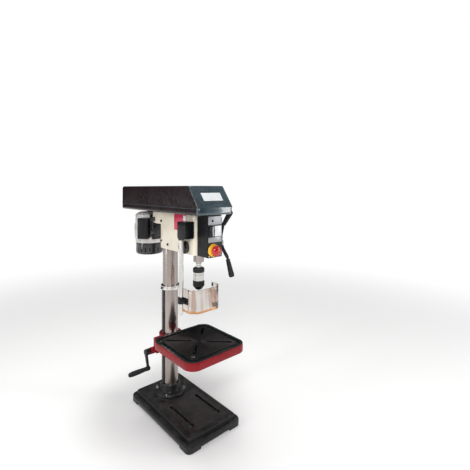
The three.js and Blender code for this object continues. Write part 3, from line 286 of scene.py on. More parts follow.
def round_upright_edges(obj, radius, segments=6, test=lambda place: True):
    """Rounds the edges that stand along Z."""
    with editing(obj, "EDGE"):
        choose(obj, "EDGE", lambda place, run: abs(run.z) > 0.99 and test(place))
        bpy.ops.mesh.bevel(offset=radius, segments=segments, affect="EDGES")


def grow_face(obj, normal, *steps):
    """Insets the outermost faces along a normal, then pulls them out, for each (inset, out)."""
    normal = Vector(normal)
    reach = max(vertex.co.dot(normal) for vertex in obj.data.vertices)
    with editing(obj, "FACE"):
        choose(obj, "FACE", lambda place, facing: (
            facing.dot(normal) > 0.99 and place.dot(normal) > reach - 1e-5))
        for inset, out in steps:
            if inset:
                bpy.ops.mesh.inset(thickness=inset, depth=0)
            if out:
                bpy.ops.mesh.extrude_region_move(TRANSFORM_OT_translate={"value": normal * out})


def turned(name, profile, at=(0, 0, 0), along="Z", sides=None, ridges=None):
    """A turned piece: a circle is extruded and drawn in or out at each (radius, height)."""
    lay_down_tools()
    sides = sides or sizes().round_sides
    closed = tuple(profile[0]) == tuple(profile[-1])
    bpy.ops.mesh.primitive_circle_add(
        vertices=sides, radius=profile[0][0], location=(0, 0, profile[0][1]),
        fill_type="NOTHING" if closed else "NGON",
    )
    obj = named(name)
    settle()
    bpy.ops.object.mode_set(mode="EDIT")
    bpy.ops.mesh.select_mode(type="VERT")
    bpy.ops.mesh.select_all(action="SELECT")
    for (radius, height), (next_radius, next_height) in zip(profile, profile[1:]):
        rise = (0, 0, next_height - height)
        bpy.ops.mesh.extrude_region_move(TRANSFORM_OT_translate={"value": rise})
        if next_radius != radius:
            ratio = next_radius / radius
            bpy.ops.transform.resize(
                value=(ratio, ratio, 1), center_override=(0, 0, next_height)
            )
    bpy.ops.mesh.select_all(action="SELECT")
    bpy.ops.mesh.remove_doubles(threshold=1e-6)
    bpy.ops.mesh.normals_make_consistent(inside=False)
    if ridges:
        sink_ridges(obj, sides, *ridges)
    bpy.ops.object.mode_set(mode="OBJECT")
    stand(obj, at, along)
    return obj


def sink_ridges(obj, sides, lowest, highest, depth, outer):
    """Draws in every other pair of upright lines between two heights, as a coarse knurl."""
    def between(place, _):
        step = round(math.atan2(place.y, place.x) / (2 * math.pi) * sides) % 4
        radius = math.hypot(place.x, place.y)
        return step in (0, 1) and lowest < place.z < highest and radius > outer - 1e-5

    choose(obj, "VERT", between)
    ratio = 1 - depth / outer
    bpy.ops.transform.resize(value=(ratio, ratio, 1), center_override=(0, 0, 0))


TURNS = {
    "Z": (0, 0, 0),
    "X": (0, math.radians(90), 0),
    "-X": (0, math.radians(-90), 0),
    "-Y": (math.radians(90), 0, 0),
    "Y": (math.radians(-90), 0, 0),
    "-Z": (math.radians(180), 0, 0),
}


def stand(obj, at, along="Z"):
    """Turns a piece made along Z to its own direction and moves it to its place."""
    pick(obj)
    obj.rotation_euler = TURNS[along]
    obj.location = at
    settle()


def tilt(obj, degrees, axis, about):
    """Turns a finished mesh about a line."""
    pick(obj)
    about = Vector(about)
    turn = Matrix.Rotation(math.radians(degrees), 4, axis)
    obj.matrix_world = Matrix.Translation(about) @ turn @ Matrix.Translation(-about)
    settle()
    return obj


def apply(obj, kind, **values):
    """Adds a modifier with the given values and applies it."""
    pick(obj)
    modifier = obj.modifiers.new(kind.title(), kind)
    for key, value in values.items():
        setattr(modifier, key, value)
    bpy.ops.object.modifier_apply(modifier=modifier.name)


def cut(obj, *tools):
    for tool in tools:
        apply(obj, "BOOLEAN", operation="DIFFERENCE", object=tool, solver="EXACT")
        bpy.data.objects.remove(tool)
    heal(obj)


def heal(obj):
    """Merges the slivers that a cut can leave and closes the pinholes they made."""
    with editing(obj):
        bpy.ops.mesh.select_all(action="SELECT")
        bpy.ops.mesh.remove_doubles(threshold=5e-6)
        bpy.ops.mesh.dissolve_degenerate(threshold=5e-6)
        bpy.ops.mesh.select_all(action="SELECT")
        bpy.ops.mesh.fill_holes(sides=8)


def weld(obj, *others):
    for other in others:
        apply(obj, "BOOLEAN", operation="UNION", object=other, solver="EXACT")
        bpy.data.objects.remove(other)
    heal(obj)
    return obj


def join(obj, *others):
    """Makes one piece of several closed shapes that only touch."""
    pick(obj)
    for other in others:
        other.select_set(True)
    bpy.ops.object.join()
    return obj


def soften(obj, width, segments=2, angle=32):
    """Rounds every edge sharper than the angle."""
    apply(
        obj, "BEVEL", width=width, segments=segments, limit_method="ANGLE",
        angle_limit=math.radians(angle), use_clamp_overlap=True,
    )
    return obj


def twin(obj, name):
    """A copy with its own mesh."""
    copy = obj.copy()
    copy.data = obj.data.copy()
    copy.name = name
    bpy.context.scene.collection.objects.link(copy)
    return copy


def refined(node, name, width, segments=2):
    """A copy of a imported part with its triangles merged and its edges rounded."""
    lay_down_tools()
    obj = twin(frame["nodes"][node], name)
    for key in list(obj.keys()):
        del obj[key]
    obj.parent = None
    obj.data.materials.clear()
    with editing(obj):
        bpy.ops.mesh.select_all(action="SELECT")
        bpy.ops.mesh.remove_doubles(threshold=1e-6)
        bpy.ops.mesh.dissolve_limited(angle_limit=math.radians(1))
    if width:
        soften(obj, width, segments)
    return obj


def done(obj, material, *nodes, body=None, slot=None, stands_for=True, angle=38):
    """Gives a finished piece its material and body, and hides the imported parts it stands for."""
    pick(obj)
    bpy.ops.object.shade_smooth_by_angle(angle=math.radians(angle))
    obj.data.materials.clear()
    obj.data.materials.append(finish(material))
    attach(obj, body or body_of(nodes[0]))
    if stands_for and nodes:
        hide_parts(*nodes)
    return obj


def carried(node, name, width, material, segments=2, **options):
    """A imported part's own shape with rounded edges and a finish."""
    return done(refined(node, name, width, segments), material, node, **options)


def screw_head(name, radius, height, at, along, sides=None):
    """A round socket screw head with a six-sided hollow."""
    profile = [
        (radius * 0.94, 0), (radius, height * 0.15), (radius, height * 0.8),
        (radius * 0.86, height),
    ]
    head = turned(name, profile, sides=sides or sizes().small_sides)
    hollow = turned("hollow", [(radius * 0.5, height * 0.4), (radius * 0.5, height * 2)], sides=6)
    cut(head, hollow)
    stand(head, at, along)
    return head


# ---------- shared effects, as shader groups ----------


def new_group(name, inputs, outputs):
    """An empty node group with named value sockets."""
    tree = bpy.data.node_groups.new(name, "ShaderNodeTree")
    for label, value in inputs.items():
        socket = tree.interface.new_socket(label, in_out="INPUT", socket_type="NodeSocketFloat")
        socket.default_value = value
    for label in outputs:
        tree.interface.new_socket(label, in_out="OUTPUT", socket_type="NodeSocketFloat")
    return tree, tree.nodes.new("NodeGroupInput"), tree.nodes.new("NodeGroupOutput")


def maths(tree, operation, first, second=None, third=None):
    """A Math node; each operand is a number or a socket."""
    node = tree.nodes.new("ShaderNodeMath")
    node.operation = operation
    for socket, value in zip(node.inputs, (first, second, third)):
        if value is None:
            continue
        if isinstance(value, (int, float)):
            socket.default_value = value
        else:
            tree.links.new(value, socket)
    return node.outputs[0]


def noise(tree, place, scale, detail=3.0, roughness=0.55):
    """A Noise Texture's value; the scale is a number or a socket, in turns a metre."""
    node = tree.nodes.new("ShaderNodeTexNoise")
    node.inputs["Detail"].default_value = detail
    node.inputs["Roughness"].default_value = roughness
    tree.links.new(place, node.inputs["Vector"])
    if isinstance(scale, (int, float)):
        node.inputs["Scale"].default_value = scale
    else:
        tree.links.new(scale, node.inputs["Scale"])
    return node.outputs[0]


def ramp(tree, value, start, end, low_out=0.0, high_out=1.0):
    """Maps start..end of a value to low_out..high_out, smoothly and clamped."""
    node = tree.nodes.new("ShaderNodeMapRange")
    node.interpolation_type = "SMOOTHSTEP"
    for label, number in (("From Min", start), ("From Max", end),
                          ("To Min", low_out), ("To Max", high_out)):
        node.inputs[label].default_value = number
    tree.links.new(value, node.inputs["Value"])
    return node.outputs["Result"]


def stretched(tree, scale, centre=(0, 0, 0)):
    """Object coordinates about a centre, stretched by a scale on each axis."""
    place = tree.nodes.new("ShaderNodeTexCoord").outputs["Object"]
    node = tree.nodes.new("ShaderNodeMapping")
    node.vector_type = "POINT"
    node.inputs["Scale"].default_value = scale
    node.inputs["Location"].default_value = [-c * s for c, s in zip(centre, scale)]
    tree.links.new(place, node.inputs["Vector"])
    return node.outputs[0]


def surface_group():
    """Blotches, fine grain and specks that every finish uses, from Object coordinates."""
    name = "Surface variation"
    if name in bpy.data.node_groups:
        return bpy.data.node_groups[name]
    tree, given, out = new_group(
        name, {"Blotch Scale": 9.0, "Grain Scale": 900.0}, ("Blotch", "Grain", "Specks")
    )
    place = stretched(tree, (1, 1, 1))
    blotch = noise(tree, place, given.outputs["Blotch Scale"], 4.0)
    grain = noise(tree, place, given.outputs["Grain Scale"], 2.0)
    specks = noise(tree, place, maths(tree, "MULTIPLY", given.outputs["Grain Scale"], 0.35), 1.0)
    tree.links.new(ramp(tree, blotch, 0.3, 0.7), out.inputs["Blotch"])
    tree.links.new(grain, out.inputs["Grain"])
    tree.links.new(ramp(tree, specks, 0.66, 0.74), out.inputs["Specks"])
    return tree


def wear_group():
    """A mask that is one along worn edges, broken up by noise."""
    name = "Edge wear"
    if name in bpy.data.node_groups:
        return bpy.data.node_groups[name]
    tree, given, out = new_group(name, {"Amount": 0.3, "Scale": 120.0}, ("Mask",))
    edge = tree.nodes.new("ShaderNodeNewGeometry").outputs["Pointiness"]
    place = stretched(tree, (1, 1, 1))
    broken = ramp(tree, noise(tree, place, given.outputs["Scale"], 4.0), 0.42, 0.66)
    sharp = ramp(tree, edge, 0.515, 0.60)
    mask = maths(tree, "MULTIPLY", maths(tree, "MULTIPLY", sharp, broken), given.outputs["Amount"])
    tree.links.new(mask, out.inputs["Mask"])
    return tree


def dust_group():
    """A mask of settled dust on faces that look up."""
    name = "Settled dust"
    if name in bpy.data.node_groups:
        return bpy.data.node_groups[name]
    tree, given, out = new_group(name, {"Amount": 0.1, "Scale": 24.0}, ("Mask",))
    parts = tree.nodes.new("ShaderNodeSeparateXYZ")
    tree.links.new(tree.nodes.new("ShaderNodeNewGeometry").outputs["Normal"], parts.inputs[0])
    place = stretched(tree, (1, 1, 1))
    patches = ramp(tree, noise(tree, place, given.outputs["Scale"], 5.0, 0.65), 0.35, 0.75)
    upward = ramp(tree, parts.outputs["Z"], 0.6, 0.98)
    mask = maths(tree, "MULTIPLY", maths(tree, "MULTIPLY", upward, patches),
                 given.outputs["Amount"])
    tree.links.new(mask, out.inputs["Mask"])
    return tree


# ---------- finishes ----------


def place_group(tree, group, **values):
    node = tree.nodes.new("ShaderNodeGroup")
    node.node_tree = group
    for label, value in values.items():
        node.inputs[label.replace("_", " ")].default_value = value
    return node


def blend_colour(tree, factor, first, second, mode="MIX"):
    """A Mix node for colours; each colour is three numbers or a socket."""
    node = tree.nodes.new("ShaderNodeMix")
    node.data_type = "RGBA"
    node.blend_type = mode
    for socket, value in ((node.inputs[6], first), (node.inputs[7], second)):
        if isinstance(value, bpy.types.NodeSocket):
            tree.links.new(value, socket)
        else:
            socket.default_value = (*value[:3], 1.0)
    if isinstance(factor, (int, float)):
        node.inputs[0].default_value = factor
    else:
        tree.links.new(factor, node.inputs[0])
    return node.outputs[2]


def bump(tree, shader, height, distance, strength=1.0):
    node = tree.nodes.new("ShaderNodeBump")
    node.inputs["Distance"].default_value = distance
    node.inputs["Strength"].default_value = strength
    tree.links.new(height, node.inputs["Height"])
    tree.links.new(node.outputs[0], shader.inputs["Normal"])


def new_material(name, roughness, metallic=0.0, coat=0.0, coat_roughness=0.08, specular=0.5):
    material = bpy.data.materials.new(f"{name}_finish")
    material.use_nodes = True
    tree = material.node_tree
    shader = tree.nodes["Principled BSDF"]
    shader.inputs["Roughness"].default_value = roughness
    shader.inputs["Metallic"].default_value = metallic
    shader.inputs["Coat Weight"].default_value = coat
    shader.inputs["Coat Roughness"].default_value = coat_roughness
    shader.inputs["Specular IOR Level"].default_value = specular
    return material, tree, shader


def scaled(tint, factor):
    return [min(channel * factor, 1.0) for channel in tint]


def coated_finish(name, tint, roughness, *, coat=0.0, metallic=0.0, under=(0.25, 0.24, 0.24),
                  blotch=0.22, grain=900.0, depth=0.00004, wear=1.0, dust=1.0, specks=0.0,
                  specular=0.5):
    """Paint or plastic: blotchy colour, grain, edges worn to what lies under it, and dust."""
    material, tree, shader = new_material(name, roughness, metallic, coat, specular=specular)
    surface = place_group(tree, surface_group(), Blotch_Scale=11.0, Grain_Scale=grain)
    worn = place_group(tree, wear_group(), Amount=wear * colours().wear, Scale=130.0)
    dusty = place_group(tree, dust_group(), Amount=dust * colours().dust, Scale=26.0)
    body = blend_colour(tree, surface.outputs["Blotch"], scaled(tint, 1 - blotch),
                        scaled(tint, 1 + blotch))
    if specks:
        body = blend_colour(tree, maths(tree, "MULTIPLY", surface.outputs["Specks"], specks),
                            body, scaled(tint, 0.25))
    body = blend_colour(tree, worn.outputs["Mask"], body, under)
    body = blend_colour(tree, dusty.outputs["Mask"], body, (0.42, 0.40, 0.37))
    tree.links.new(body, shader.inputs["Base Color"])
    varied = ramp(tree, surface.outputs["Blotch"], 0.0, 1.0, roughness * 0.82, roughness * 1.2)
    rough = maths(tree, "MULTIPLY_ADD", dusty.outputs["Mask"], 0.6, varied)
    tree.links.new(rough, shader.inputs["Roughness"])
    bump(tree, shader, surface.outputs["Grain"], depth)
    return material


def metal_finish(name, tint, roughness, *, stretch=(900, 900, 30), streak=0.16, depth=0.000006,
                 centre=(0, 0, 0), stain=0.25):
    """Bare metal: fine tool marks along one direction, and stains."""
    material, tree, shader = new_material(name, roughness, 1.0)
    marks = noise(tree, stretched(tree, stretch, centre), 1.0, 3.0, 0.6)
    surface = place_group(tree, surface_group(), Blotch_Scale=16.0, Grain_Scale=500.0)
    body = blend_colour(tree, marks, scaled(tint, 1 - streak), scaled(tint, 1 + streak))
    stained = maths(tree, "MULTIPLY", surface.outputs["Blotch"], stain)
    body = blend_colour(tree, stained, body, scaled(tint, 0.55))
    tree.links.new(body, shader.inputs["Base Color"])
    rough = ramp(tree, marks, 0.25, 0.75, roughness * 0.8, roughness * 1.25)
    rough = maths(tree, "MULTIPLY_ADD", stained, 0.18, rough)
    tree.links.new(rough, shader.inputs["Roughness"])
    bump(tree, shader, marks, depth)
    return material


def faced_iron(name, tint, centre, spacing=0.0016):
    """A face turned in a lathe: fine rings about the centre, glossier along them than across."""
    material, tree, shader = new_material(name, 0.45, 1.0)
    place = stretched(tree, (1, 1, 0), centre)
    rings = tree.nodes.new("ShaderNodeTexWave")
    rings.wave_type = "RINGS"
    rings.rings_direction = "Z"
    rings.inputs["Scale"].default_value = 2 * math.pi / (20 * spacing)
    rings.inputs["Distortion"].default_value = 0.6
    rings.inputs["Detail"].default_value = 1.0
    tree.links.new(place, rings.inputs["Vector"])
    surface = place_group(tree, surface_group(), Blotch_Scale=14.0, Grain_Scale=700.0)
    body = blend_colour(tree, rings.outputs["Fac"], scaled(tint, 0.7), scaled(tint, 1.25))
    body = blend_colour(tree, maths(tree, "MULTIPLY", surface.outputs["Blotch"], 0.35), body,
                        scaled(tint, 0.55))
    tree.links.new(body, shader.inputs["Base Color"])
    tree.links.new(ramp(tree, surface.outputs["Blotch"], 0, 1, 0.40, 0.52),
                   shader.inputs["Roughness"])
    shader.inputs["Anisotropic"].default_value = 0.9
    along = tree.nodes.new("ShaderNodeTangent")
    along.direction_type = "RADIAL"
    along.axis = "Z"
    tree.links.new(along.outputs[0], shader.inputs["Tangent"])
    bump(tree, shader, rings.outputs["Fac"], 0.00012, 0.9)
    return material


def clear_finish(name, tint, painted_glow_below, painted_glow_over):
    """Clear sheet with painted light: stripes of painted reflection in its colour, and a painted
    amber glow along its lower edge.
    """
    material, tree, shader = new_material(name, 0.06)
    shader.inputs["Transmission Weight"].default_value = 1.0
    shader.inputs["IOR"].default_value = 1.46
    parts = tree.nodes.new("ShaderNodeSeparateXYZ")
    tree.links.new(stretched(tree, (1, 1, 1)), parts.inputs[0])
    # Painted glow: the colour turns amber towards the lower edge.
    painted_edge_glow = ramp(tree, parts.outputs["Z"], painted_glow_below, painted_glow_over, 1.0, 0.0)
    surface = place_group(tree, surface_group(), Blotch_Scale=20.0, Grain_Scale=300.0)
    # Painted reflection: brownish stripes painted into the colour.
    painted_reflection_streaks = ramp(tree, noise(tree, stretched(tree, (46, 46, 3)), 1.0, 3.0), 0.44, 0.60)
    warm = blend_colour(tree, maths(tree, "MULTIPLY", painted_reflection_streaks, 0.85), tint, (0.58, 0.40, 0.32))
    body = blend_colour(tree, painted_edge_glow, warm, (0.62, 0.28, 0.08))
    tree.links.new(body, shader.inputs["Base Color"])
    tree.links.new(ramp(tree, surface.outputs["Blotch"], 0, 1, 0.03, 0.12),
                   shader.inputs["Roughness"])
    return material


BARE_PLASTIC = (0.09, 0.09, 0.09)

# A finish's colour, or the setting that holds it, its roughness, and the rest of its values.
COATED = {
    "cast_black": ("cast_black", 0.40,
                   dict(coat=0.12, grain=420, depth=0.00016, wear=0.8, dust=0.8, specular=0.35)),
    "base_machined": ((0.034, 0.030, 0.030), 0.40,
                      dict(metallic=0.35, grain=260, depth=0.00005, blotch=0.4, wear=0.3,
                           dust=0.5)),
    # Black of the trough, the inner rim and the slot walls; in the slots, on the ribs under them
    # and on the plateau's lower faces it is painted shade.
    "trough_black": ((0.010, 0.014, 0.015), 0.24,
                     dict(coat=0.5, grain=500, depth=0.00005, wear=0.1, dust=0.2)),
    "red_paint": ("red_paint", 0.30,
                  dict(coat=0.08, grain=380, depth=0.00007, blotch=0.10, wear=0.2,
                       under=(0.50, 0.25, 0.24), dust=0.15, specular=0.2)),
    "cream_paint": ("cream_paint", 0.34,
                    dict(coat=0.4, grain=360, depth=0.0001, blotch=0.06, wear=0.15, dust=0.3,
                         under=(0.35, 0.33, 0.30))),
    "cover_black": ("cover_black", 0.30,
                    dict(coat=0.35, grain=700, depth=0.00002, blotch=0.08, wear=0.35, dust=0.3,
                         specular=0.4)),
    # A lighter, bluish copy of the cover paint: a painted reflection on the sloping front, and
    # painted highlights on the ribs, beads and frame.
    "cover_front": ((0.032, 0.056, 0.070), 0.20,
                    dict(coat=0.9, grain=700, depth=0.00003, blotch=0.25, wear=0.3, dust=0.25)),
    "motor_grey": ("motor_grey", 0.40,
                   dict(coat=0.2, metallic=0.1, grain=520, depth=0.00006, specks=0.5, wear=0.4,
                        dust=0.5)),
    "black_plastic": ("black_plastic", 0.34,
                      dict(grain=1300, depth=0.00003, wear=0.3, dust=0.3, under=BARE_PLASTIC,
                           specular=0.3)),
    "black_gloss": ("black_plastic", 0.16,
                    dict(coat=0.6, grain=1300, depth=0.00001, wear=0.2, dust=0.3,
                         under=BARE_PLASTIC)),
    "rubber": ("rubber", 0.62,
               dict(grain=1500, depth=0.00006, wear=0.3, dust=0.6, under=(0.06, 0.06, 0.06),
                    specular=0.35)),
    "panel_grey": ("panel_grey", 0.34,
                   dict(metallic=0.3, grain=800, depth=0.00002, blotch=0.1, wear=0.4, dust=0.2)),
    "yellow_plastic": ("yellow_plastic", 0.3,
                       dict(coat=0.4, grain=900, depth=0.00002, blotch=0.08, wear=0.1, dust=0.2,
                            under=(0.5, 0.3, 0.1))),
    "red_plastic": ("red_plastic", 0.24,
                    dict(coat=0.6, grain=900, depth=0.00002, blotch=0.1, wear=0.1, dust=0.2,
                         under=(0.4, 0.1, 0.1))),
    "label_white": ("label_white", 0.28,
                    dict(coat=0.3, grain=600, depth=0.00001, blotch=0.04, wear=0.0, dust=0.1)),
    "label_red": ("label_red", 0.3,
                  dict(coat=0.3, grain=600, depth=0.00001, blotch=0.08, wear=0.0, dust=0.1)),
    "black_oxide": ("black_oxide", 0.30,
                    dict(metallic=0.4, grain=900, depth=0.00003, wear=1.3, dust=0.4,
                         under=(0.30, 0.29, 0.28))),
}
METALS = {
    "dark_steel": ("dark_steel", 0.38, dict(stretch=(600, 600, 600), stain=0.4)),
    "bright_steel": ((0.72, 0.70, 0.67), 0.14, dict(stretch=(60, 60, 2200), streak=0.06)),
    "ground_steel": ("ground_steel", 0.20,
                     dict(stretch=(60, 60, 2600), streak=0.12, depth=0.000004, stain=0.2)),
}


def make_finish(name):
    tone = colours()
    for table, maker in ((COATED, coated_finish), (METALS, metal_finish)):
        if name in table:
            tint, roughness, values = table[name]
            if isinstance(tint, str):
                tint = getattr(tone, tint)
            return maker(name, tint, roughness, **values)
    if name == "faced_iron":
        top = middle("table")
        return faced_iron(name, tone.machined, (top.x, top.y, 0))
    if name == "clear_plastic":
        # The painted amber glow fills the guard's lowest 4 mm and fades out by 14 mm.
        base = low("guard_shield").z
        return clear_finish(name, tone.clear_plastic, base + 0.004, base + 0.014)
    raise ValueError(f"there is no finish named {name}")


FINISHES = {}


def finish(name):
    """The finish of that name, made once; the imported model's own materials are never used."""
    if name not in FINISHES:
        FINISHES[name] = make_finish(name)
    return FINISHES[name]


# ---------- base, flange, column ----------


def build_base():
    s = sizes()
    lo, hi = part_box("base")
    pad_top = hi.z
    cast_top = hi.z - 1.2 * MM
    shoulder = lo.z + s.base_skirt
    step = s.base_step - 6 * MM
    base = block("base_casting", lo, (hi.x, hi.y, shoulder - 5 * MM))
    round_upright_edges(base, s.base_corner, 8)
    grow_face(base, (0, 0, 1), (3 * MM, 5 * MM))
    upper = block("upper", (lo.x + step, lo.y + step, lo.z + 10 * MM),
                  (hi.x - step, hi.y - step, cast_top - 3 * MM))
    round_upright_edges(upper, s.base_corner * 0.6, 6)
    grow_face(upper, (0, 0, 1), (5 * MM, 3 * MM))
    weld(base, upper)
    for wall, roof in ((10 * MM, lo.z + 18 * MM), (s.base_step + 10 * MM, cast_top - 12 * MM)):
        hollow = block("hollow", (lo.x + wall, lo.y + wall, lo.z - MM),
                       (hi.x - wall, hi.y - wall, roof))
        round_upright_edges(hollow, 8 * MM, 4)
        cut(base, hollow)
    arch = 8 * MM
    foot = s.base_foot
    cut(base,
        block("arch_x", (lo.x + foot, lo.y - MM, -MM), (hi.x - foot, hi.y + MM, arch)),
        block("arch_y", (lo.x - MM, lo.y + foot, -MM), (hi.x + MM, hi.y - foot, arch)))
    pad_front = lo.y + s.base_step + 15 * MM
    pad_back = COLUMN.y - 66 * MM
    pad = block("machined_pad", (lo.x + 44 * MM, pad_front, cast_top - 4 * MM),
                (hi.x - 44 * MM, pad_back, pad_top))
    round_upright_edges(pad, 10 * MM, 4)
    boss = turned("flange_boss", [(82 * MM, cast_top - 4 * MM), (82 * MM, cast_top),
                                  (80 * MM, pad_top)], at=ON_COLUMN)
    soften(base, s.casting_edge, 3)
    soften(pad, s.fine_edge)
    for side in (-1, 1):
        x = COLUMN.x + side * s.slot_offset
        for piece in (base, pad):
            cut(piece, *slot_tools(x, lo.z + 20 * MM, hi.z + 5 * MM))
    done(base, "cast_black", "base")
    done(pad, "base_machined", body="frame", slot=SLOT_OF["base"])
    soften(boss, s.fine_edge)
    done(boss, "cast_black", body="frame", slot=SLOT_OF["base"])


def slot_tools(x, bottom, top):
    """Cutters for one slot of the base: a straight run and the round eye at its front."""
    s = sizes()
    half = s.slot_width / 2
    near = COLUMN.y - s.slot_near
    far = near - s.slot_length
    run = block("slot_run", (x - half, far, bottom), (x + half, near, top))
    round_upright_edges(run, half * 0.98, 6)
    eye = turned("slot_eye", [(s.slot_eye, bottom), (s.slot_eye, top)], sides=s.small_sides,
                 at=(x, far + s.slot_eye, 0))
    return run, eye


def build_flange():
    lo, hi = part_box("column_flange")
    outer = (hi.x - lo.x) / 2
    inner = (high("column").x - low("column").x) / 2 + 0.3 * MM
    plate = 13 * MM
    height = hi.z - lo.z
    profile = [
        (inner, 0), (outer - 1.5 * MM, 0), (outer, 1.5 * MM), (outer, plate - 4 * MM),
        (outer - 2 * MM, plate - 1.2 * MM), (outer - 5 * MM, plate), (53 * MM, plate),
        (50.5 * MM, plate + 1.2 * MM), (49 * MM, plate + 4 * MM), (46.6 * MM, height - 8 * MM),
        (46 * MM, height - 3 * MM), (44 * MM, height), (inner, height), (inner, 0),
    ]
    flange = turned("column_flange_casting", profile, at=(COLUMN.x, COLUMN.y, lo.z))
    set_screw = screw_head("flange_set_screw", 5 * MM, 5 * MM,
                           (COLUMN.x - 46 * MM, COLUMN.y, lo.z + height - 14 * MM), "-X")
    done(flange, "cast_black", "column_flange")
    done(set_screw, "dark_steel", body="frame", slot="dark_steel")
    build_flange_bolts()


def build_flange_bolts():
    s = sizes()
    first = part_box("flange_bolt_1")
    radius = (first[1].x - first[0].x) / 2
    for number in range(1, 5):
        node = f"flange_bolt_{number}"
        spot = middle(node)
        top = high(node).z
        washer = turned(f"bolt_{number}",
                        [(radius + MM, top - 7.0 * MM), (radius + MM, top - 5.4 * MM),
                                           (radius + 0.4 * MM, top - 5.0 * MM)],
                        at=(spot.x, spot.y, 0), sides=s.small_sides)
        head = turned("head", [(radius, top - 5.0 * MM), (radius, top - 1.2 * MM),
                               (radius - 1.4 * MM, top)], at=(spot.x, spot.y, 0), sides=6)
        stem = turned("stem", [(5 * MM, low(node).z), (5 * MM, top - 4 * MM)],
                      at=(spot.x, spot.y, 0), sides=s.small_sides)
        tilt(head, 14 + 23 * number, "Z", spot)
        bolt = join(washer, head, stem)
        done(bolt, "bright_steel", node)


def build_column():
    lo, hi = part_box("column")
    outer = (hi.x - lo.x) / 2
    inner = outer - 5 * MM
    edge = sizes().fine_edge
    profile = [
        (inner, lo.z + edge), (inner + edge, lo.z), (outer - edge, lo.z), (outer, lo.z + edge),
        (outer, hi.z - edge), (outer - edge, hi.z), (inner + edge, hi.z), (inner, hi.z - edge),
        (inner, lo.z + edge),
    ]
    column = turned("ground_column", profile, at=ON_COLUMN, sides=128)
    done(column, "ground_steel", "column")
    carried("rack", "lift_rack_bar", 0.35 * MM, "dark_steel", segments=1)
    lo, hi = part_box("rack_ring")
    outer = (hi.x - lo.x) / 2
    inner = (high("column").x - low("column").x) / 2 + 0.3 * MM
    profile = [
        (inner, lo.z), (outer - 1.5 * MM, lo.z), (outer, lo.z + 1.5 * MM), (outer, lo.z + 12 * MM),
        (outer - 1.2 * MM, lo.z + 13 * MM), (outer - 1.2 * MM, lo.z + 14 * MM),
        (outer, lo.z + 15 * MM), (outer, hi.z - 1.5 * MM), (outer - 1.5 * MM, hi.z),
        (inner, hi.z), (inner, lo.z),
    ]
    collar = turned("rack_collar", profile, at=ON_COLUMN, sides=96)
    done(collar, "bright_steel", "rack_ring")
    screw = screw_head("rack_collar_screw", 4.5 * MM, 6 * MM,
                       (lo.x - 0.2 * MM, COLUMN.y, (lo.z + hi.z) / 2 - MM), "-X")
    done(screw, "black_oxide", body="frame", slot="black_oxide")


# ---------- table, bracket, crank ----------


def build_table():
    s = sizes()
    lo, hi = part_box("table")
    centre = Vector(((lo.x + hi.x) / 2, (lo.y + hi.y) / 2, 0))
    bottom = hi.z - s.table_height
    body = block("table_casting", (lo.x, lo.y, bottom), (hi.x, hi.y, hi.z - 4 * MM))
    round_upright_edges(body, s.table_corner, 12)
    grow_face(body, (0, 0, 1), (MM, 4 * MM), (2 * MM, 0), (s.table_rim - 2 * MM, -8 * MM))
    grow_face(body, (0, 0, -1), (9 * MM, -9 * MM))
    soften(body, 0.9 * MM, 2)
    edge = s.table_rim + s.table_trough
    plateau = block("table_face", (lo.x + edge, lo.y + edge, bottom + 10 * MM),
                    (hi.x - edge, hi.y - edge, hi.z))
    round_upright_edges(plateau, s.table_corner - edge + 4 * MM, 8)
    soften(plateau, 0.8 * MM, 2)
    for piece in (body, plateau):
        for degrees in (45, 135, 225, 315):
            tool = block("table_slot", (30 * MM, -s.slot_width / 2, -60 * MM),
                         (146 * MM, s.slot_width / 2, 20 * MM))
            round_upright_edges(tool, s.slot_width * 0.49, 5)
            tilt(tool, degrees, "Z", (0, 0, 0))
            stand(tool, (centre.x, centre.y, hi.z))
            cut(piece, tool)
    done(body, "red_paint", "table")
    body.data.materials.append(finish("trough_black"))
    paint_trough(body, lo, hi)
    done(plateau, "faced_iron", body=body_of("table"), slot=SLOT_OF["table"])
    # The plateau's sides and underside, down in the trough and the slots, get the black as painted
    # shade.
    plateau.data.materials.append(finish("trough_black"))
    for face in plateau.data.polygons:
        face.material_index = int(face.center.z < hi.z - MM)
    build_slot_walls(centre, hi.z)
    build_tilt_pad(centre, bottom)


def build_slot_walls(centre, top):
    """A deep rib with an open middle under each slot of the table, all black: a dark piece that
    stands for the shade seen through the slots.
    """
    s = sizes()
    half = s.slot_width / 2
    for number, degrees in enumerate((45, 135, 225, 315)):
        wall = block(f"table_slot_rib_{number + 1}", (25 * MM, -half - 5 * MM, -54 * MM),
                     (151 * MM, half + 5 * MM, -12 * MM))
        round_upright_edges(wall, half, 5)
        gap = block("gap", (30.5 * MM, -half - 0.4 * MM, -60 * MM),
                    (145.5 * MM, half + 0.4 * MM, 0))
        round_upright_edges(gap, half * 0.98, 5)
        cut(wall, gap)
        soften(wall, MM, 2, 50)
        tilt(wall, degrees, "Z", (0, 0, 0))
        stand(wall, (centre.x, centre.y, top))
        done(wall, "trough_black", body=body_of("table"), slot=SLOT_OF["table"])


def paint_trough(body, lo, hi):
    """Gives the trough, the slots and the inner part of the rim the second finish: black that is
    painted shade in the slots and partly painted shade in the trough.
    """
    lip = 2.0 * MM
    corner = sizes().table_corner
    middle_x, middle_y = (lo.x + hi.x) / 2, (lo.y + hi.y) / 2
    near_slot = sizes().slot_width / 2 + 0.5 * MM
    for face in body.data.polygons:
        spot = face.center
        across = [max(low_side + corner - place, place - high_side + corner, 0.0)
                  for low_side, high_side, place in ((lo.x, hi.x, spot.x), (lo.y, hi.y, spot.y))]
        from_edge = corner - math.hypot(*across) if min(across) > 0 else corner - max(across)
        x, y = spot.x - middle_x, spot.y - middle_y
        in_slot = min(abs(x + y),
                      abs(x - y)) / math.sqrt(2) < near_slot and abs(face.normal.z) < 0.5
        if spot.z > hi.z - 9.5 * MM and from_edge > lip or in_slot and from_edge > corner / 2:
            face.material_index = 1


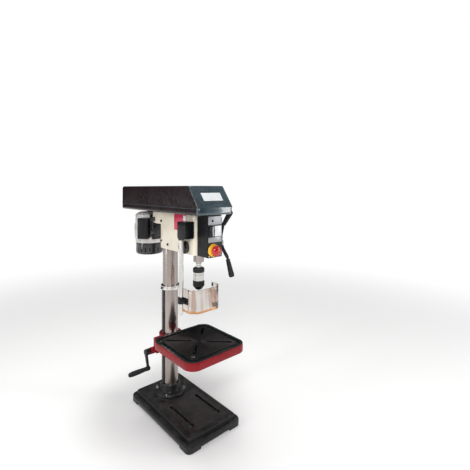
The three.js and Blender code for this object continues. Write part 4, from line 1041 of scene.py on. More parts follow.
def build_tilt_pad(centre, bottom):
    """The flat pad and web under the table that the bracket carries."""
    bolt = middle("tilt_bolt")
    radius = bolt.z - low("table").z
    depth = 14 * MM
    face = COLUMN.y - 104.3 * MM
    pad = turned("tilt_pad", [(radius, 0), (radius, depth)], at=(centre.x, face, bolt.z),
                 along="-Y")
    web = block("tilt_web", (centre.x - radius, face - depth, bolt.z),
                (centre.x + radius, face, bottom + 12 * MM))
    pad = weld(pad, web)
    hole = turned("hole", [(8.4 * MM, -20 * MM), (8.4 * MM, 20 * MM)],
                  at=(centre.x, face - depth / 2, bolt.z), along="-Y", sides=24)
    cut(pad, hole)
    soften(pad, 1.5 * MM)
    done(pad, "red_paint", body=body_of("table"), slot=SLOT_OF["table"])


def build_bracket():
    carried("table_bracket", "bracket_casting", 1.2 * MM, "red_paint")
    carried("tilt_bolt", "tilt_bolt_head", 0.5 * MM, "dark_steel")
    carried("lift_gear", "lift_gear_wheel", 0.2 * MM, "dark_steel", segments=1)
    lever = refined("column_clamp_lever", "clamp_lever", 0.4 * MM)
    done(lever, "black_oxide", "column_clamp_lever", angle=60)


def build_crank():
    s = sizes()
    axis = middle("crank_shaft")
    grip = middle("crank_grip")
    hub_x = high("crank_arm").x
    outer_x = high("crank_grip").x
    reach = math.hypot(grip.y - axis.y, grip.z - axis.z)
    lean = math.degrees(math.atan2(grip.y - axis.y, axis.z - grip.z))
    hub = turned("crank_handle_arm",
                 [(12 * MM, 0), (14 * MM, 2 * MM), (14 * MM, 20 * MM), (12.5 * MM, 26 * MM),
                  (6 * MM, 27 * MM)],
                 at=(hub_x, axis.y, axis.z), along="-X")
    arm_x = outer_x + 0.5 * MM
    arm = block("arm", (arm_x, axis.y - 8 * MM, axis.z - reach),
                (arm_x + 11 * MM, axis.y + 8 * MM, axis.z))
    with editing(arm, "FACE"):
        choose(arm, "FACE", lambda place, normal: normal.z < -0.9)
        bpy.ops.transform.resize(value=(0.9, 0.72, 1),
                                 center_override=(arm_x + 5 * MM, axis.y, axis.z - reach))
    with editing(arm, "EDGE"):
        choose(arm, "EDGE", lambda place, run: abs(run.z) > 0.9)
        bpy.ops.mesh.bevel(offset=3 * MM, segments=4, affect="EDGES")
    end = turned("end", [(8 * MM, 0), (10 * MM, 2 * MM), (10 * MM, 13 * MM), (8 * MM, 15 * MM)],
                 at=(arm_x + 13 * MM, axis.y, axis.z - reach), along="-X")
    weld(hub, arm, end)
    pin = turned("pin", [(4 * MM, 0), (4 * MM, 84 * MM)],
                 at=(outer_x + 2 * MM, axis.y, axis.z - reach), along="-X", sides=s.small_sides)
    soften(hub, 0.7 * MM)
    join(hub, pin)
    tilt(hub, lean, "X", axis)
    done(hub, "cast_black", "crank_arm")
    carried("crank_shaft", "crank_shaft_rod", 0.4 * MM, "dark_steel")
    long = high("crank_grip").x - low("crank_grip").x
    profile = [(4.6 * MM, 0), (8 * MM, 0), (9.4 * MM, 1.5 * MM), (9.4 * MM, 6 * MM),
               (8.6 * MM, 8 * MM),
               (9.6 * MM, 20 * MM), (10.7 * MM, long * 0.45), (11 * MM, long * 0.65),
               (10.6 * MM, long - 14 * MM), (9 * MM, long - 5 * MM), (6 * MM, long - 1.2 * MM),
               (2 * MM, long)]
    handle = turned("crank_handle_grip", profile, at=(high("crank_grip").x, grip.y, grip.z),
                    along="-X")
    done(handle, "rubber", "crank_grip", angle=50)


# ---------- head ----------


def build_head():
    s = sizes()
    lo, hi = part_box("head")
    half = (hi.x - lo.x) / 2
    head = block("head_casting", (lo.x, lo.y, lo.z), (hi.x, COLUMN.y, hi.z))
    round_upright_edges(head, 22 * MM, 10, lambda place: place.y < COLUMN.y - 10 * MM)
    collar = turned("collar",
                    [(half - 0.3 * MM, lo.z + 0.3 * MM), (half - 0.3 * MM, hi.z - 0.4 * MM)],
                    at=ON_COLUMN, sides=96)
    lug = block("lug", (lo.x + 0.7 * MM, COLUMN.y - 9 * MM, hi.z - 60 * MM),
                (hi.x - 0.7 * MM, hi.y, hi.z - 0.8 * MM))
    weld(head, collar, lug)
    soften(head, s.casting_edge * 1.3, 3)
    bore = (high("column").x - low("column").x) / 2 + 0.3 * MM
    quill = (high("quill").x - low("quill").x) / 2 + 0.4 * MM
    tools = [
        turned("column_bore", [(bore, lo.z - MM), (bore, hi.z - 11 * MM)], at=ON_COLUMN, sides=96),
        turned("quill_bore", [(quill, lo.z - MM), (quill, hi.z + MM)], at=ON_SPINDLE, sides=96),
        block("pocket", (COLUMN.x - 36 * MM, COLUMN.y - 174 * MM, lo.z - MM),
              (COLUMN.x + 36 * MM, COLUMN.y - 58 * MM, hi.z - 30 * MM)),
        turned("pinion_bore", [(15 * MM, -60 * MM), (15 * MM, 60 * MM)],
               at=(COLUMN.x, FEED.y, FEED.z), along="X"),
    ]
    for side in (-1, 1):
        tools.append(turned("bar_bore", [(8.4 * MM, -60 * MM), (8.4 * MM, 60 * MM)], sides=32,
                            at=(COLUMN.x + side * 27 * MM, hi.y,
                                high("tension_lever").z - 10 * MM), along="-Y"))
    cut(head, *tools)
    done(head, "cream_paint", "head")
    build_head_trim(lo, hi)


def build_head_trim(lo, hi):
    """The blank plates, the clamp screws and the quill lock on the head's sides."""
    plate_low = COLUMN.y - 206 * MM
    plate = block("head_plate", (lo.x - 0.9 * MM, plate_low, hi.z - 76 * MM),
                  (lo.x + 0.5 * MM, COLUMN.y - 108 * MM, hi.z - 4 * MM))
    cut(plate,
        block("corner", (lo.x - 5 * MM, plate_low - MM, hi.z - 80 * MM),
              (lo.x + 5 * MM, COLUMN.y - 134 * MM, hi.z - 40 * MM)))
    soften(plate, 0.25 * MM)
    done(plate, "label_red", body="frame", slot=SLOT_OF["head"])
    patch = block("head_plate_blank", (lo.x - 1.3 * MM, plate_low + 3 * MM, hi.z - 30 * MM),
                  (lo.x - 0.6 * MM, plate_low + 24 * MM, hi.z - 9 * MM))
    soften(patch, 0.15 * MM)
    done(patch, "label_white", body="frame", slot=SLOT_OF["head"])
    for number, (y, z) in enumerate(((8, 128), (8, 34), (-52, 22))):
        screw = screw_head(f"head_clamp_screw_{number + 1}", 6 * MM, 4 * MM,
                           (lo.x + (0.2 if y < 0 else 0.9) * MM, COLUMN.y + y * MM, lo.z + z * MM),
                           "-X")
        done(screw, "black_oxide", body="frame", slot="black_oxide")
    lock = turned("quill_lock_knob",
                  [(5 * MM, 0), (5 * MM, 6 * MM), (11 * MM, 7 * MM), (12 * MM, 9 * MM),
                   (12 * MM, 18 * MM), (10 * MM, 20 * MM), (4 * MM, 20.5 * MM)],
                  at=(hi.x - 0.5 * MM, SPINDLE.y + 8 * MM, lo.z + 128 * MM), along="X",
                  ridges=(9 * MM, 18.5 * MM, 1.2 * MM, 12 * MM))
    done(lock, "black_plastic", body="frame", slot="black_plastic")


# ---------- belt cover ----------


def build_cover():
    s = sizes()
    lo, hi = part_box("belt_pan")
    rear = COLUMN.y + 352 * MM
    front = lo.y
    split = low("belt_lid").z
    build_pan(s, lo, hi, rear, front)
    build_lid(s, lo, hi, rear, front, split)
    hinge = middle("lid_hinge_pin")
    pin_half = (high("lid_hinge_pin").x - low("lid_hinge_pin").x) / 2
    pin = turned("hinge_pin",
                 [(2.4 * MM, -pin_half), (2.4 * MM, pin_half - 3 * MM),
                  (4 * MM, pin_half - 3 * MM), (4 * MM, pin_half - MM), (3 * MM, pin_half)],
                 at=hinge, along="X", sides=s.small_sides)
    done(pin, "bright_steel", "lid_hinge_pin")


def build_pan(s, lo, hi, rear, front):
    top = lo.z + 31 * MM
    pan = block("cover_pan", (lo.x, front, lo.z), (hi.x, rear, top))
    round_upright_edges(pan, s.cover_corner, 8)
    with editing(pan, "EDGE"):
        choose(pan, "EDGE", lambda place, run: place.z < lo.z + 0.1 * MM)
        bpy.ops.mesh.bevel(offset=9 * MM, segments=6, affect="EDGES")
    with editing(pan, "FACE"):
        choose(pan, "FACE", lambda place, normal: normal.z > 0.99)
        bpy.ops.mesh.delete(type="FACE")
    apply(pan, "SOLIDIFY", thickness=s.cover_wall, offset=-1.0)
    hinge = middle("lid_hinge_pin")
    for side in (-1, 1):
        ends = sorted((side * 56.4 * MM, side * 82 * MM))
        barrel = turned("barrel", [(5 * MM, ends[0]), (5 * MM, ends[1])], at=hinge, along="X",
                        sides=32)
        leaf = block("leaf", (hinge.x + ends[0], rear - MM, top - 9 * MM),
                     (hinge.x + ends[1], rear + 5 * MM, top - 0.4 * MM))
        join(pan, barrel, leaf)
    holes = [
        turned("sleeve_hole", [(21 * MM, lo.z - 5 * MM), (21 * MM, lo.z + 8 * MM)], at=ON_SPINDLE),
        block("motor_slot",
              (COLUMN.x - 18 * MM, middle("motor_pulley").y - 26 * MM, lo.z - 5 * MM),
              (COLUMN.x + 18 * MM, middle("motor_pulley").y + 38 * MM, lo.z + 8 * MM)),
    ]
    cut(pan, *holes)
    soften(pan, 0.5 * MM, 2, 50)
    done(pan, "cover_black", "belt_pan")
    # The faces along the pan's front get the painted reflection colour.
    front_face = [face for face in pan.data.polygons if face.center.y < front + 13 * MM]
    pan.data.materials.append(finish("cover_front"))
    for face in front_face:
        face.material_index = 1


def build_lid(s, lo, hi, rear, front, split):
    top = high("belt_lid").z
    lid = block("cover_lid", (lo.x, front, split), (hi.x, rear, top))
    with editing(lid, "EDGE"):
        choose(lid, "EDGE", lambda place,
               run: place.z > top - MM and place.y < front + MM and abs(run.x) > 0.9)
        bpy.ops.transform.translate(value=(0, s.cover_slope, 0))
    with editing(lid, "EDGE"):
        choose(lid, "EDGE", lambda place,
               run: place.z > top - MM and place.y > rear - MM and abs(run.x) > 0.9)
        bpy.ops.mesh.bevel(offset=18 * MM, segments=1, affect="EDGES")
    round_upright_edges(lid, s.cover_corner, 6)

    def rounded(place, run):
        """The edges round the top and down the sloping front."""
        on_side = abs(place.x - COLUMN.x) > (hi.x - lo.x) / 2 - MM
        near_top = place.z > max(split + MM, top - 40 * MM)
        leaning = place.y < front + s.cover_slope and 0.2 < abs(run.y) < 0.9
        return near_top and (on_side or abs(run.x) > 0.9) or leaning

    with editing(lid, "EDGE"):
        choose(lid, "EDGE", rounded)
        bpy.ops.mesh.bevel(offset=s.sheet_edge, segments=5, affect="EDGES")
    with editing(lid, "FACE"):
        choose(lid, "FACE", lambda place, normal: normal.z < -0.99)
        bpy.ops.mesh.delete(type="FACE")
    apply(lid, "SOLIDIFY", thickness=s.cover_wall, offset=-1.0)
    hinge = middle("lid_hinge_pin")
    barrel = turned("barrel", [(5 * MM, -55.6 * MM), (5 * MM, 55.6 * MM)], at=hinge, along="X",
                    sides=32)
    leaf = block("leaf", (hinge.x - 55.6 * MM, rear - MM, hinge.z - 3 * MM),
                 (hinge.x + 55.6 * MM, hinge.y - 1 * MM, hinge.z + 5 * MM))
    join(lid, barrel, leaf)
    done(lid, "cover_black", "belt_lid")
    # The sloping front and a band just behind it get the painted reflection colour.
    lid.data.materials.append(finish("cover_front"))
    for face in lid.data.polygons:
        reach = front + s.cover_slope * max(face.center.z - split, 0) / (top - split)
        if face.center.y < reach + 14 * MM:
            face.material_index = 1
    build_cover_trim(s, lo, hi, front, split, top)
    build_cover_ribs(s, lo, front, split, top)


def build_cover_ribs(s, lo, front, split, top):
    """Leaning ribs pressed into the cover's sides near the front, and a bead along each side, all
    in the painted reflection colour as painted highlights.
    """
    lean = math.degrees(math.atan2(s.cover_slope, top - split))
    for number, back in enumerate((30 * MM, 48 * MM)):
        for side, x in (("left", lo.x), ("right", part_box("belt_pan")[1].x)):
            rib = block(f"cover_rib_{side}_{number + 1}", (-0.6 * MM, back, 2 * MM),
                        (0.25 * MM, back + 3 * MM, 88 * MM))
            if side == "right":
                stand(rib, (0.35 * MM, 0, 0))
            tilt(rib, -lean, "X", (0, back, 0))
            stand(rib, (x + (0.6 if side == "left" else -0.6) * MM, front, split))
            soften(rib, 0.25 * MM, 2)
            done(rib, "cover_front", body=body_of("belt_lid"), slot="cover_black")
    rear = COLUMN.y + 352 * MM
    for side, x in (("left", lo.x), ("right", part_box("belt_pan")[1].x)):
        bead = block(f"cover_bead_{side}", (x - 0.5 * MM, front + 16 * MM, split - 4.2 * MM),
                     (x + 0.5 * MM, rear - 16 * MM, split - 2.2 * MM))
        soften(bead, 0.3 * MM, 2)
        done(bead, "cover_front", body=body_of("belt_pan"), slot="cover_black")


def build_cover_trim(s, lo, hi, front, split, top):
    """The raised frame and the blank label on the sloping front of the lid."""
    lean = math.atan2(s.cover_slope, top - split)
    long = math.hypot(s.cover_slope, top - split)
    centre_y = front + s.cover_slope / 2
    centre_z = (split + top) / 2

    def on_slope(name, x0, x1, v0, v1, proud, sink=0.6 * MM):
        """A thin plate laid on the slope; v runs up it from its middle."""
        plate = block(name, (x0, -proud, v0), (x1, sink, v1))
        tilt(plate, -math.degrees(lean), "X", (0, 0, 0))
        stand(plate, (0, centre_y, centre_z))
        return plate

    half = (hi.x - lo.x) / 2 - 13 * MM
    frame_plate = on_slope("cover_front_frame", COLUMN.x - half, COLUMN.x + half,
                           -long / 2 + 13 * MM, long / 2 - 15 * MM, 0.7 * MM)
    window = on_slope("window", COLUMN.x - half + 7 * MM, COLUMN.x + half - 7 * MM,
                      -long / 2 + 20 * MM, long / 2 - 22 * MM, 9 * MM, 9 * MM)
    cut(frame_plate, window)
    soften(frame_plate, 0.3 * MM)
    # The raised frame is in the painted reflection colour, as a painted highlight.
    done(frame_plate, "cover_front", body=body_of("belt_lid"), slot="cover_black")
    label_x = COLUMN.x + 2 * MM
    label = on_slope("cover_label", label_x - s.label_width / 2, label_x + s.label_width / 2,
                     -long / 2 + 34 * MM, -long / 2 + 34 * MM + s.label_height, 1.2 * MM)
    soften(label, 0.3 * MM)
    done(label, "label_white", body=body_of("belt_lid"), slot="cover_black")


# ---------- drive ----------


def build_drive():
    for node, name in (("spindle_pulley", "front_step_pulley"),
                       ("idler_pulley", "middle_step_pulley"),
                       ("motor_pulley", "motor_step_pulley")):
        carried(node, name, 0.5 * MM, "bright_steel")
    carried("pulley_bearing", "pulley_bearing_ring", 0.4 * MM, "bright_steel")
    carried("idler_shaft", "idler_post", 0.4 * MM, "dark_steel")
    for node, name in (("spindle_belt", "front_belt"), ("motor_belt", "rear_belt")):
        carried(node, name, 0.6 * MM, "rubber")


def build_motor():
    s = sizes()
    lo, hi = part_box("motor_body")
    axis = middle("motor_pulley")
    outer = (hi.x - lo.x) / 2
    height = hi.z - lo.z
    bell = height - 12 * MM
    profile = [
        (outer - 1.5 * MM, 0), (outer, 1.5 * MM), (outer, 9 * MM), (outer - 1.6 * MM, 10 * MM),
        (outer - 1.6 * MM, 12 * MM),
        (outer, 13 * MM), (outer, bell - 13 * MM), (outer - 1.6 * MM, bell - 12 * MM),
        (outer - 1.6 * MM, bell - 10 * MM),
        (outer, bell - 9 * MM), (outer, bell - 2 * MM), (outer - 3 * MM, bell + 2 * MM),
        (60 * MM, height - 4 * MM),
        (55 * MM, height), (20 * MM, height), (18 * MM, height - 3 * MM),
        (9 * MM, height - 3 * MM),
    ]
    motor = turned("motor_barrel", profile, at=(axis.x, axis.y, lo.z), sides=96)
    foot = block("foot", (axis.x - 24 * MM, lo.y, lo.z + 20 * MM),
                 (axis.x + 24 * MM, axis.y - 40 * MM, lo.z + 134 * MM))
    soften(foot, 2 * MM)
    foot.name = foot.data.name = "motor_foot"
    done(foot, "cast_black", body="motor", slot="cast_black")
    done(motor, "motor_grey", "motor_body")
    for number, degrees in enumerate((20, 110, 200, 290)):
        angle = math.radians(degrees)
        place = (axis.x + 64 * MM * math.cos(angle), axis.y + 64 * MM * math.sin(angle),
                 hi.z - 11 * MM)
        bolt = screw_head(f"motor_bolt_{number + 1}", 4 * MM, 4 * MM, place, "Z")
        done(bolt, "dark_steel", body="motor", slot="dark_steel")
    build_capacitor(axis, outer, lo)
    build_fan_cover(s, axis)
    box = refined("motor_terminal_box", "terminal_box", 2.2 * MM, 3)
    done(box, "black_plastic", "motor_terminal_box")
    build_terminal_lid()


def build_capacitor(axis, outer, lo):
    """A half-round bulge on the motor's barrel, away from the terminal box."""
    bearing = math.radians(145)
    out = outer - 15 * MM
    profile = [(16 * MM, 0), (20 * MM, 5 * MM), (20 * MM, 76 * MM), (16 * MM, 82 * MM),
               (3 * MM, 83 * MM)]
    place = (axis.x + out * math.cos(bearing), axis.y + out * math.sin(bearing), lo.z + 18 * MM)
    case = turned("capacitor_cover", profile, at=place, sides=48)
    done(case, "motor_grey", body="motor", slot="motor_grey")


def build_fan_cover(s, axis):
    lo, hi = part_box("motor_fan_cover")
    outer = (hi.x - lo.x) / 2
    height = hi.z - lo.z
    profile = [
        (outer - 3 * MM, height), (outer - 3 * MM, 12 * MM), (outer - 6 * MM, 5 * MM),
        (outer - 12 * MM, 3 * MM), (14 * MM, 3 * MM),
        (14 * MM, 0), (outer - 12 * MM, 0), (outer - 5 * MM, 2.2 * MM), (outer - 1.2 * MM, 7 * MM),
        (outer, 13 * MM),
        (outer, height - 8 * MM), (outer - 1.2 * MM, height - 7 * MM),
        (outer - 1.2 * MM, height - 5 * MM),
        (outer, height - 4 * MM), (outer, height), (outer - 3 * MM, height),
    ]
    cover = turned("fan_cover", profile, at=(axis.x, axis.y, lo.z), sides=96)
    slots = None
    for number in range(s.motor_ribs):
        slot = block("air_slot", (outer - 9 * MM, -2 * MM, lo.z + 14 * MM),
                     (outer + 5 * MM, 2 * MM, lo.z + 36 * MM))
        round_upright_edges(slot, 1.2 * MM, 2)
        tilt(slot, 360 * number / s.motor_ribs + 9, "Z", (0, 0, 0))
        slots = slot if slots is None else join(slots, slot)
    stand(slots, (axis.x, axis.y, 0))
    cut(cover, slots)
    done(cover, "black_gloss", "motor_fan_cover")


def build_terminal_lid():
    """A raised lid with screws on the terminal box's outer face."""
    lo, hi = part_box("motor_terminal_box")
    axis = middle("motor_pulley")
    bearing = math.radians(-138)
    far = 102 * MM
    half = 24 * MM
    lid = block("terminal_box_lid", (far - 1.5 * MM, -half, lo.z + 4 * MM),
                (far + 3.4 * MM, half, hi.z - 4 * MM))
    soften(lid, 1.4 * MM, 3)
    screws = [screw_head("s", 3 * MM, 2 * MM, (far + 3.2 * MM, side * 19 * MM, z), "X")
              for side in (-1, 1) for z in (lo.z + 10 * MM, hi.z - 10 * MM)]
    join(lid, *screws)
    tilt(lid, math.degrees(bearing), "Z", (0, 0, 0))
    stand(lid, (axis.x, axis.y, 0))
    done(lid, "black_plastic", body="motor", slot="black_plastic")


def build_motor_mount():
    carried("motor_slide", "motor_plate", 1.0 * MM, "black_oxide")
    carried("tension_lever", "belt_tension_lever", 0.5 * MM, "black_oxide", angle=60)


# ---------- quill and chuck ----------


def build_quill():
    lo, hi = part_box("quill")
    outer = (hi.x - lo.x) / 2
    quill = refined("quill", "ground_quill", 0.4 * MM)
    done(quill, "ground_steel", "quill")
    nose = turned("quill_nose_collar",
                  [(13 * MM, 0), (outer - 2.5 * MM, 0), (outer - 0.4 * MM, 1.5 * MM),
                   (outer - 0.4 * MM, 6 * MM), (outer - 2 * MM, 7 * MM),
                                        (13 * MM, 7 * MM), (13 * MM, 0)],
                                        at=(SPINDLE.x, SPINDLE.y, lo.z - 3.2 * MM))
    done(nose, "bright_steel", body="quill_body", slot="ground_steel")
    carried("lower_bearing", "lower_bearing_ring", 0.4 * MM, "bright_steel")
    lo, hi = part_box("spindle")
    wide = (hi.x - lo.x) / 2
    bottom = low("quill").z
    profile = [
        (7.5 * MM, lo.z), (8.5 * MM, lo.z + 20 * MM), (8.5 * MM, bottom - 24.5 * MM),
        (11.5 * MM, bottom - 24.5 * MM),
        (11.5 * MM, bottom - 19 * MM), (9 * MM, bottom - 18 * MM), (9 * MM, bottom - 15 * MM),
        (12.5 * MM, bottom - 14 * MM),
        (12.5 * MM, bottom - 8 * MM), (wide, bottom - 6 * MM), (wide, high("quill").z - 6 * MM),
        (8.8 * MM, high("quill").z - 4 * MM), (8.8 * MM, hi.z - MM), (8 * MM, hi.z),
    ]
    spindle = turned("drill_spindle", profile, at=ON_SPINDLE)
    done(spindle, "bright_steel", "spindle")


def build_chuck():
    s = sizes()
    sides = 4 * s.chuck_ridges
    at = ON_SPINDLE
    lo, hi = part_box("chuck_ring")
    outer = (hi.x - lo.x) / 2
    top = hi.z
    skirt = top - 20 * MM
    profile = [
        (8.9 * MM, top), (outer - 9 * MM, top), (outer - 5 * MM, top - 0.8 * MM),
        (outer - 1.2 * MM, top - 3.5 * MM),
        (outer, top - 4.5 * MM), (outer, top - 9 * MM), (outer, top - 10 * MM),
        (outer, skirt + 1.5 * MM), (outer - MM, skirt),
        (16 * MM, skirt), (16 * MM, lo.z), (8.9 * MM, lo.z), (8.9 * MM, top),
    ]
    ring = turned("chuck_top_ring", profile, at=at, sides=sides,
                  ridges=(skirt + MM, top - 4 * MM, 1.6 * MM, outer))
    soften(ring, 0.25 * MM, 1)
    done(ring, "black_oxide", "chuck_ring")
    lo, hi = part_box("chuck_sleeve")
    outer = (hi.x - lo.x) / 2
    profile = [
        (16.4 * MM, lo.z), (outer - 0.8 * MM, lo.z), (outer, lo.z + 0.8 * MM),
        (outer, lo.z + 26 * MM),
        (outer - 0.8 * MM, lo.z + 26.8 * MM), (outer - 0.8 * MM, lo.z + 28 * MM),
        (outer, lo.z + 28.8 * MM),
        (outer, hi.z - 0.8 * MM), (outer - 0.8 * MM, hi.z), (16.4 * MM, hi.z), (16.4 * MM, lo.z),
    ]
    done(turned("chuck_mid_sleeve", profile, at=at, sides=96), "bright_steel", "chuck_sleeve")
    lo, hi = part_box("chuck_nose")
    outer = (hi.x - lo.x) / 2
    profile = [
        (9.3 * MM, hi.z), (outer - 2 * MM, hi.z), (outer, hi.z - 2 * MM), (outer, hi.z - 3 * MM),
        (outer, lo.z + 17 * MM),
        (outer, lo.z + 15 * MM), (outer - 1.6 * MM, lo.z + 12.5 * MM),
        (outer - 9 * MM, lo.z + 2.5 * MM), (outer - 11 * MM, lo.z),
        (9.3 * MM, lo.z), (9.3 * MM, hi.z),
    ]
    nose = turned("chuck_lower_nose", profile, at=at, sides=sides,
                  ridges=(lo.z + 16 * MM, hi.z - 2.4 * MM, 1.6 * MM, outer))
    soften(nose, 0.25 * MM, 1)
    done(nose, "black_oxide", "chuck_nose")
    carried("chuck_jaws", "chuck_jaw_set", 0.3 * MM, "dark_steel")


# ---------- feed ----------


def build_feed():
    s = sizes()
    carried("pinion_shaft", "feed_pinion_shaft", 0.3 * MM, "dark_steel", segments=1)
    lo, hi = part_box("feed_hub")
    long = hi.x - lo.x
    dial = (hi.y - lo.y) / 2
    profile = [
        (9.3 * MM, 0), (dial - MM, 0), (dial, MM), (dial, 11 * MM), (dial - 2 * MM, 14 * MM),
        (23 * MM, 14.5 * MM), (22 * MM, 17 * MM),
        (22 * MM, long - 44 * MM), (20.4 * MM, long - 42 * MM), (20.4 * MM, long - 40 * MM),
        (22 * MM, long - 38 * MM),
        (22 * MM, long - 6 * MM), (20 * MM, long - 2 * MM), (14 * MM, long), (9.3 * MM, long),
        (9.3 * MM, 0),
    ]
    hub = turned("feed_hub_casting", profile, at=(lo.x, FEED.y, FEED.z), along="X")
    cap = turned("cap", [(9 * MM, long - 3 * MM), (9 * MM, long - 0.5 * MM), (8 * MM, long)],
                 at=(lo.x, FEED.y, FEED.z), along="X", sides=s.small_sides)
    join(hub, cap)
    done(hub, "panel_grey", "feed_hub")
    band = turned("depth_dial_band",
                  [(dial - MM, 2 * MM), (dial + 0.25 * MM, 2.4 * MM), (dial + 0.25 * MM, 9.6 * MM),
                   (dial - MM, 10 * MM), (dial - MM, 2 * MM)],
                  at=(lo.x, FEED.y, FEED.z), along="X")
    done(band, "label_white", body="feed", slot=SLOT_OF["feed_hub"])
    ticks = []
    for number in range(24):
        deep = 4 * MM if number % 4 else 6.4 * MM
        tick = block("tick", (2.6 * MM, -0.4 * MM, dial),
                     (2.6 * MM + deep, 0.4 * MM, dial + 0.5 * MM))
        ticks.append(tilt(tick, number * 15, "X", (0, 0, 0)))
    marks = join(*ticks)
    stand(marks, (lo.x, FEED.y, FEED.z))
    marks.name = marks.data.name = "depth_dial_marks"
    done(marks, "black_plastic", body="feed", slot="black_plastic")
    for number in (1, 2, 3):
        build_arm(s, number)


def build_arm(s, number):
    """One cranked arm with its grip, made upright and then swung to its place round the hub."""
    bend = 22
    root_end = 82.3 * MM
    swing = 17 + 120 * (number - 1)
    at = (middle(f"feed_arm_{number}").x, FEED.y, FEED.z)
    root = turned(f"feed_lever_{number}",
                  [(8 * MM, 20.6 * MM), (10.5 * MM, 23 * MM), (10.5 * MM, 30 * MM),
                   (8 * MM, 32 * MM), (8 * MM, root_end - 2 * MM), (7 * MM, root_end + MM)],
                   sides=32)
    with editing(root, "FACE"):
        choose(root, "FACE", lambda place, normal: place.z > root_end)
        for step in range(4):
            bpy.ops.mesh.extrude_region_move(TRANSFORM_OT_translate={"value": (0, -0.5 * MM * step,
                    2.2 * MM)})
            bpy.ops.transform.resize(value=(0.93, 0.93, 1))
    tip = turned("tip", [(5.6 * MM, 0), (5.4 * MM, 30 * MM), (5 * MM, 88 * MM)], sides=32)
    tilt(tip, bend, "X", (0, 0, 0))
    stand(tip, (0, 0, root_end))
    join(root, tip)
    tilt(root, swing, "X", (0, 0, 0))
    stand(root, at)
    done(root, "black_oxide", f"feed_arm_{number}")
    start = 10 * MM
    long = 82 * MM
    profile = [(5.4 * MM, start), (8.4 * MM, start), (10 * MM, start + 1.5 * MM),
               (10.2 * MM, start + 7 * MM), (9 * MM, start + 9 * MM)]
    for rib in range(s.grip_ribs):
        z = start + 12 * MM + rib * 9.5 * MM
        wide = (10.4 + 0.45 * rib) * MM
        profile += [(wide - 0.9 * MM, z), (wide, z + 1.5 * MM), (wide, z + 7 * MM),
                    (wide - 0.9 * MM, z + 8.5 * MM)]
    end = start + long
    profile += [(12.9 * MM, end - 20 * MM), (13 * MM, end - 12 * MM), (12.2 * MM, end - 5 * MM),
                (9.6 * MM, end - 1.2 * MM), (4 * MM, end)]
    grip = turned(f"feed_lever_grip_{number}", profile, sides=40)
    tilt(grip, bend, "X", (0, 0, 0))
    stand(grip, (0, 0, root_end))
    tilt(grip, swing, "X", (0, 0, 0))
    stand(grip, at)
    done(grip, "rubber", f"feed_grip_{number}", angle=60)


def build_spring():
    lo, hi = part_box("return_spring_cap")
    radius = (hi.z - lo.z) / 2
    deep = hi.x - lo.x
    profile = [
        (radius - 3 * MM, 0), (radius, 0), (radius, 7 * MM), (radius - 1.2 * MM, 8 * MM),
        (radius - 1.2 * MM, 10 * MM), (radius, 11 * MM),
        (radius, deep - 4 * MM), (radius - 1.2 * MM, deep - 1.6 * MM),
        (radius - 4 * MM, deep - 0.6 * MM), (12 * MM, deep - 0.6 * MM), (11 * MM, deep - 2 * MM),
        (2 * MM, deep - 2 * MM), (2 * MM, deep - 4 * MM), (radius - 3 * MM, deep - 4 * MM),
        (radius - 3 * MM, 0),
    ]
    cap = turned("return_spring_case", profile, at=(hi.x, FEED.y, FEED.z), along="-X")
    nut = turned("nut",
                 [(8.5 * MM, deep - 2.4 * MM), (8.5 * MM, deep + 2.5 * MM),
                  (7.2 * MM, deep + 3.6 * MM)], at=(hi.x, FEED.y, FEED.z), along="-X", sides=6)
    stem = turned("stem",
                  [(4.5 * MM, deep - 3 * MM), (4.5 * MM, deep + 7 * MM),
                   (3.6 * MM, deep + 8 * MM)], at=(hi.x, FEED.y, FEED.z), along="-X", sides=24)
    done(cap, "black_gloss", "return_spring_cap")
    soften(nut, 0.5 * MM)
    nut = join(nut, stem)
    nut.name = nut.data.name = "return_spring_nut"
    done(nut, "bright_steel", body="frame", slot="dark_steel")
    carried("return_spring", "return_spring_coil", 0.15 * MM, "dark_steel", segments=1)


# ---------- guard ----------


def build_guard():
    s = sizes()
    build_switch_box(s)
    lo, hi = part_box("guard_tube")
    axis = middle("guard_tube")
    outer = (hi.x - lo.x) / 2
    profile = [(outer - 2 * MM, lo.z + MM), (outer - 1.2 * MM, lo.z), (outer - 0.6 * MM, lo.z),
               (outer, lo.z + 0.6 * MM), (outer, hi.z - MM), (outer - MM, hi.z),
               (outer - 2 * MM, hi.z),
               (outer - 2 * MM, lo.z + MM)]
    tube = turned("guard_post_tube", profile, at=(axis.x, axis.y, 0), sides=48)
    done(tube, "bright_steel", "guard_tube")
    carried("guard_clamp", "guard_slide_clamp", 0.8 * MM, "black_plastic")
    z = middle("guard_clamp").z
    knob = turned("guard_clamp_knob",
                  [(3 * MM, 0), (3 * MM, 5 * MM), (9 * MM, 6 * MM), (9.5 * MM, 8 * MM),
                   (9.5 * MM, 15 * MM), (8 * MM, 16.5 * MM), (2 * MM, 17 * MM)],
                  at=(axis.x, axis.y - 13 * MM, z), along="-Y",
                  ridges=(8 * MM, 15.4 * MM, 1.1 * MM, 9.5 * MM), sides=48)
    done(knob, "black_plastic", body="guard", slot="black_plastic")
    build_shield()


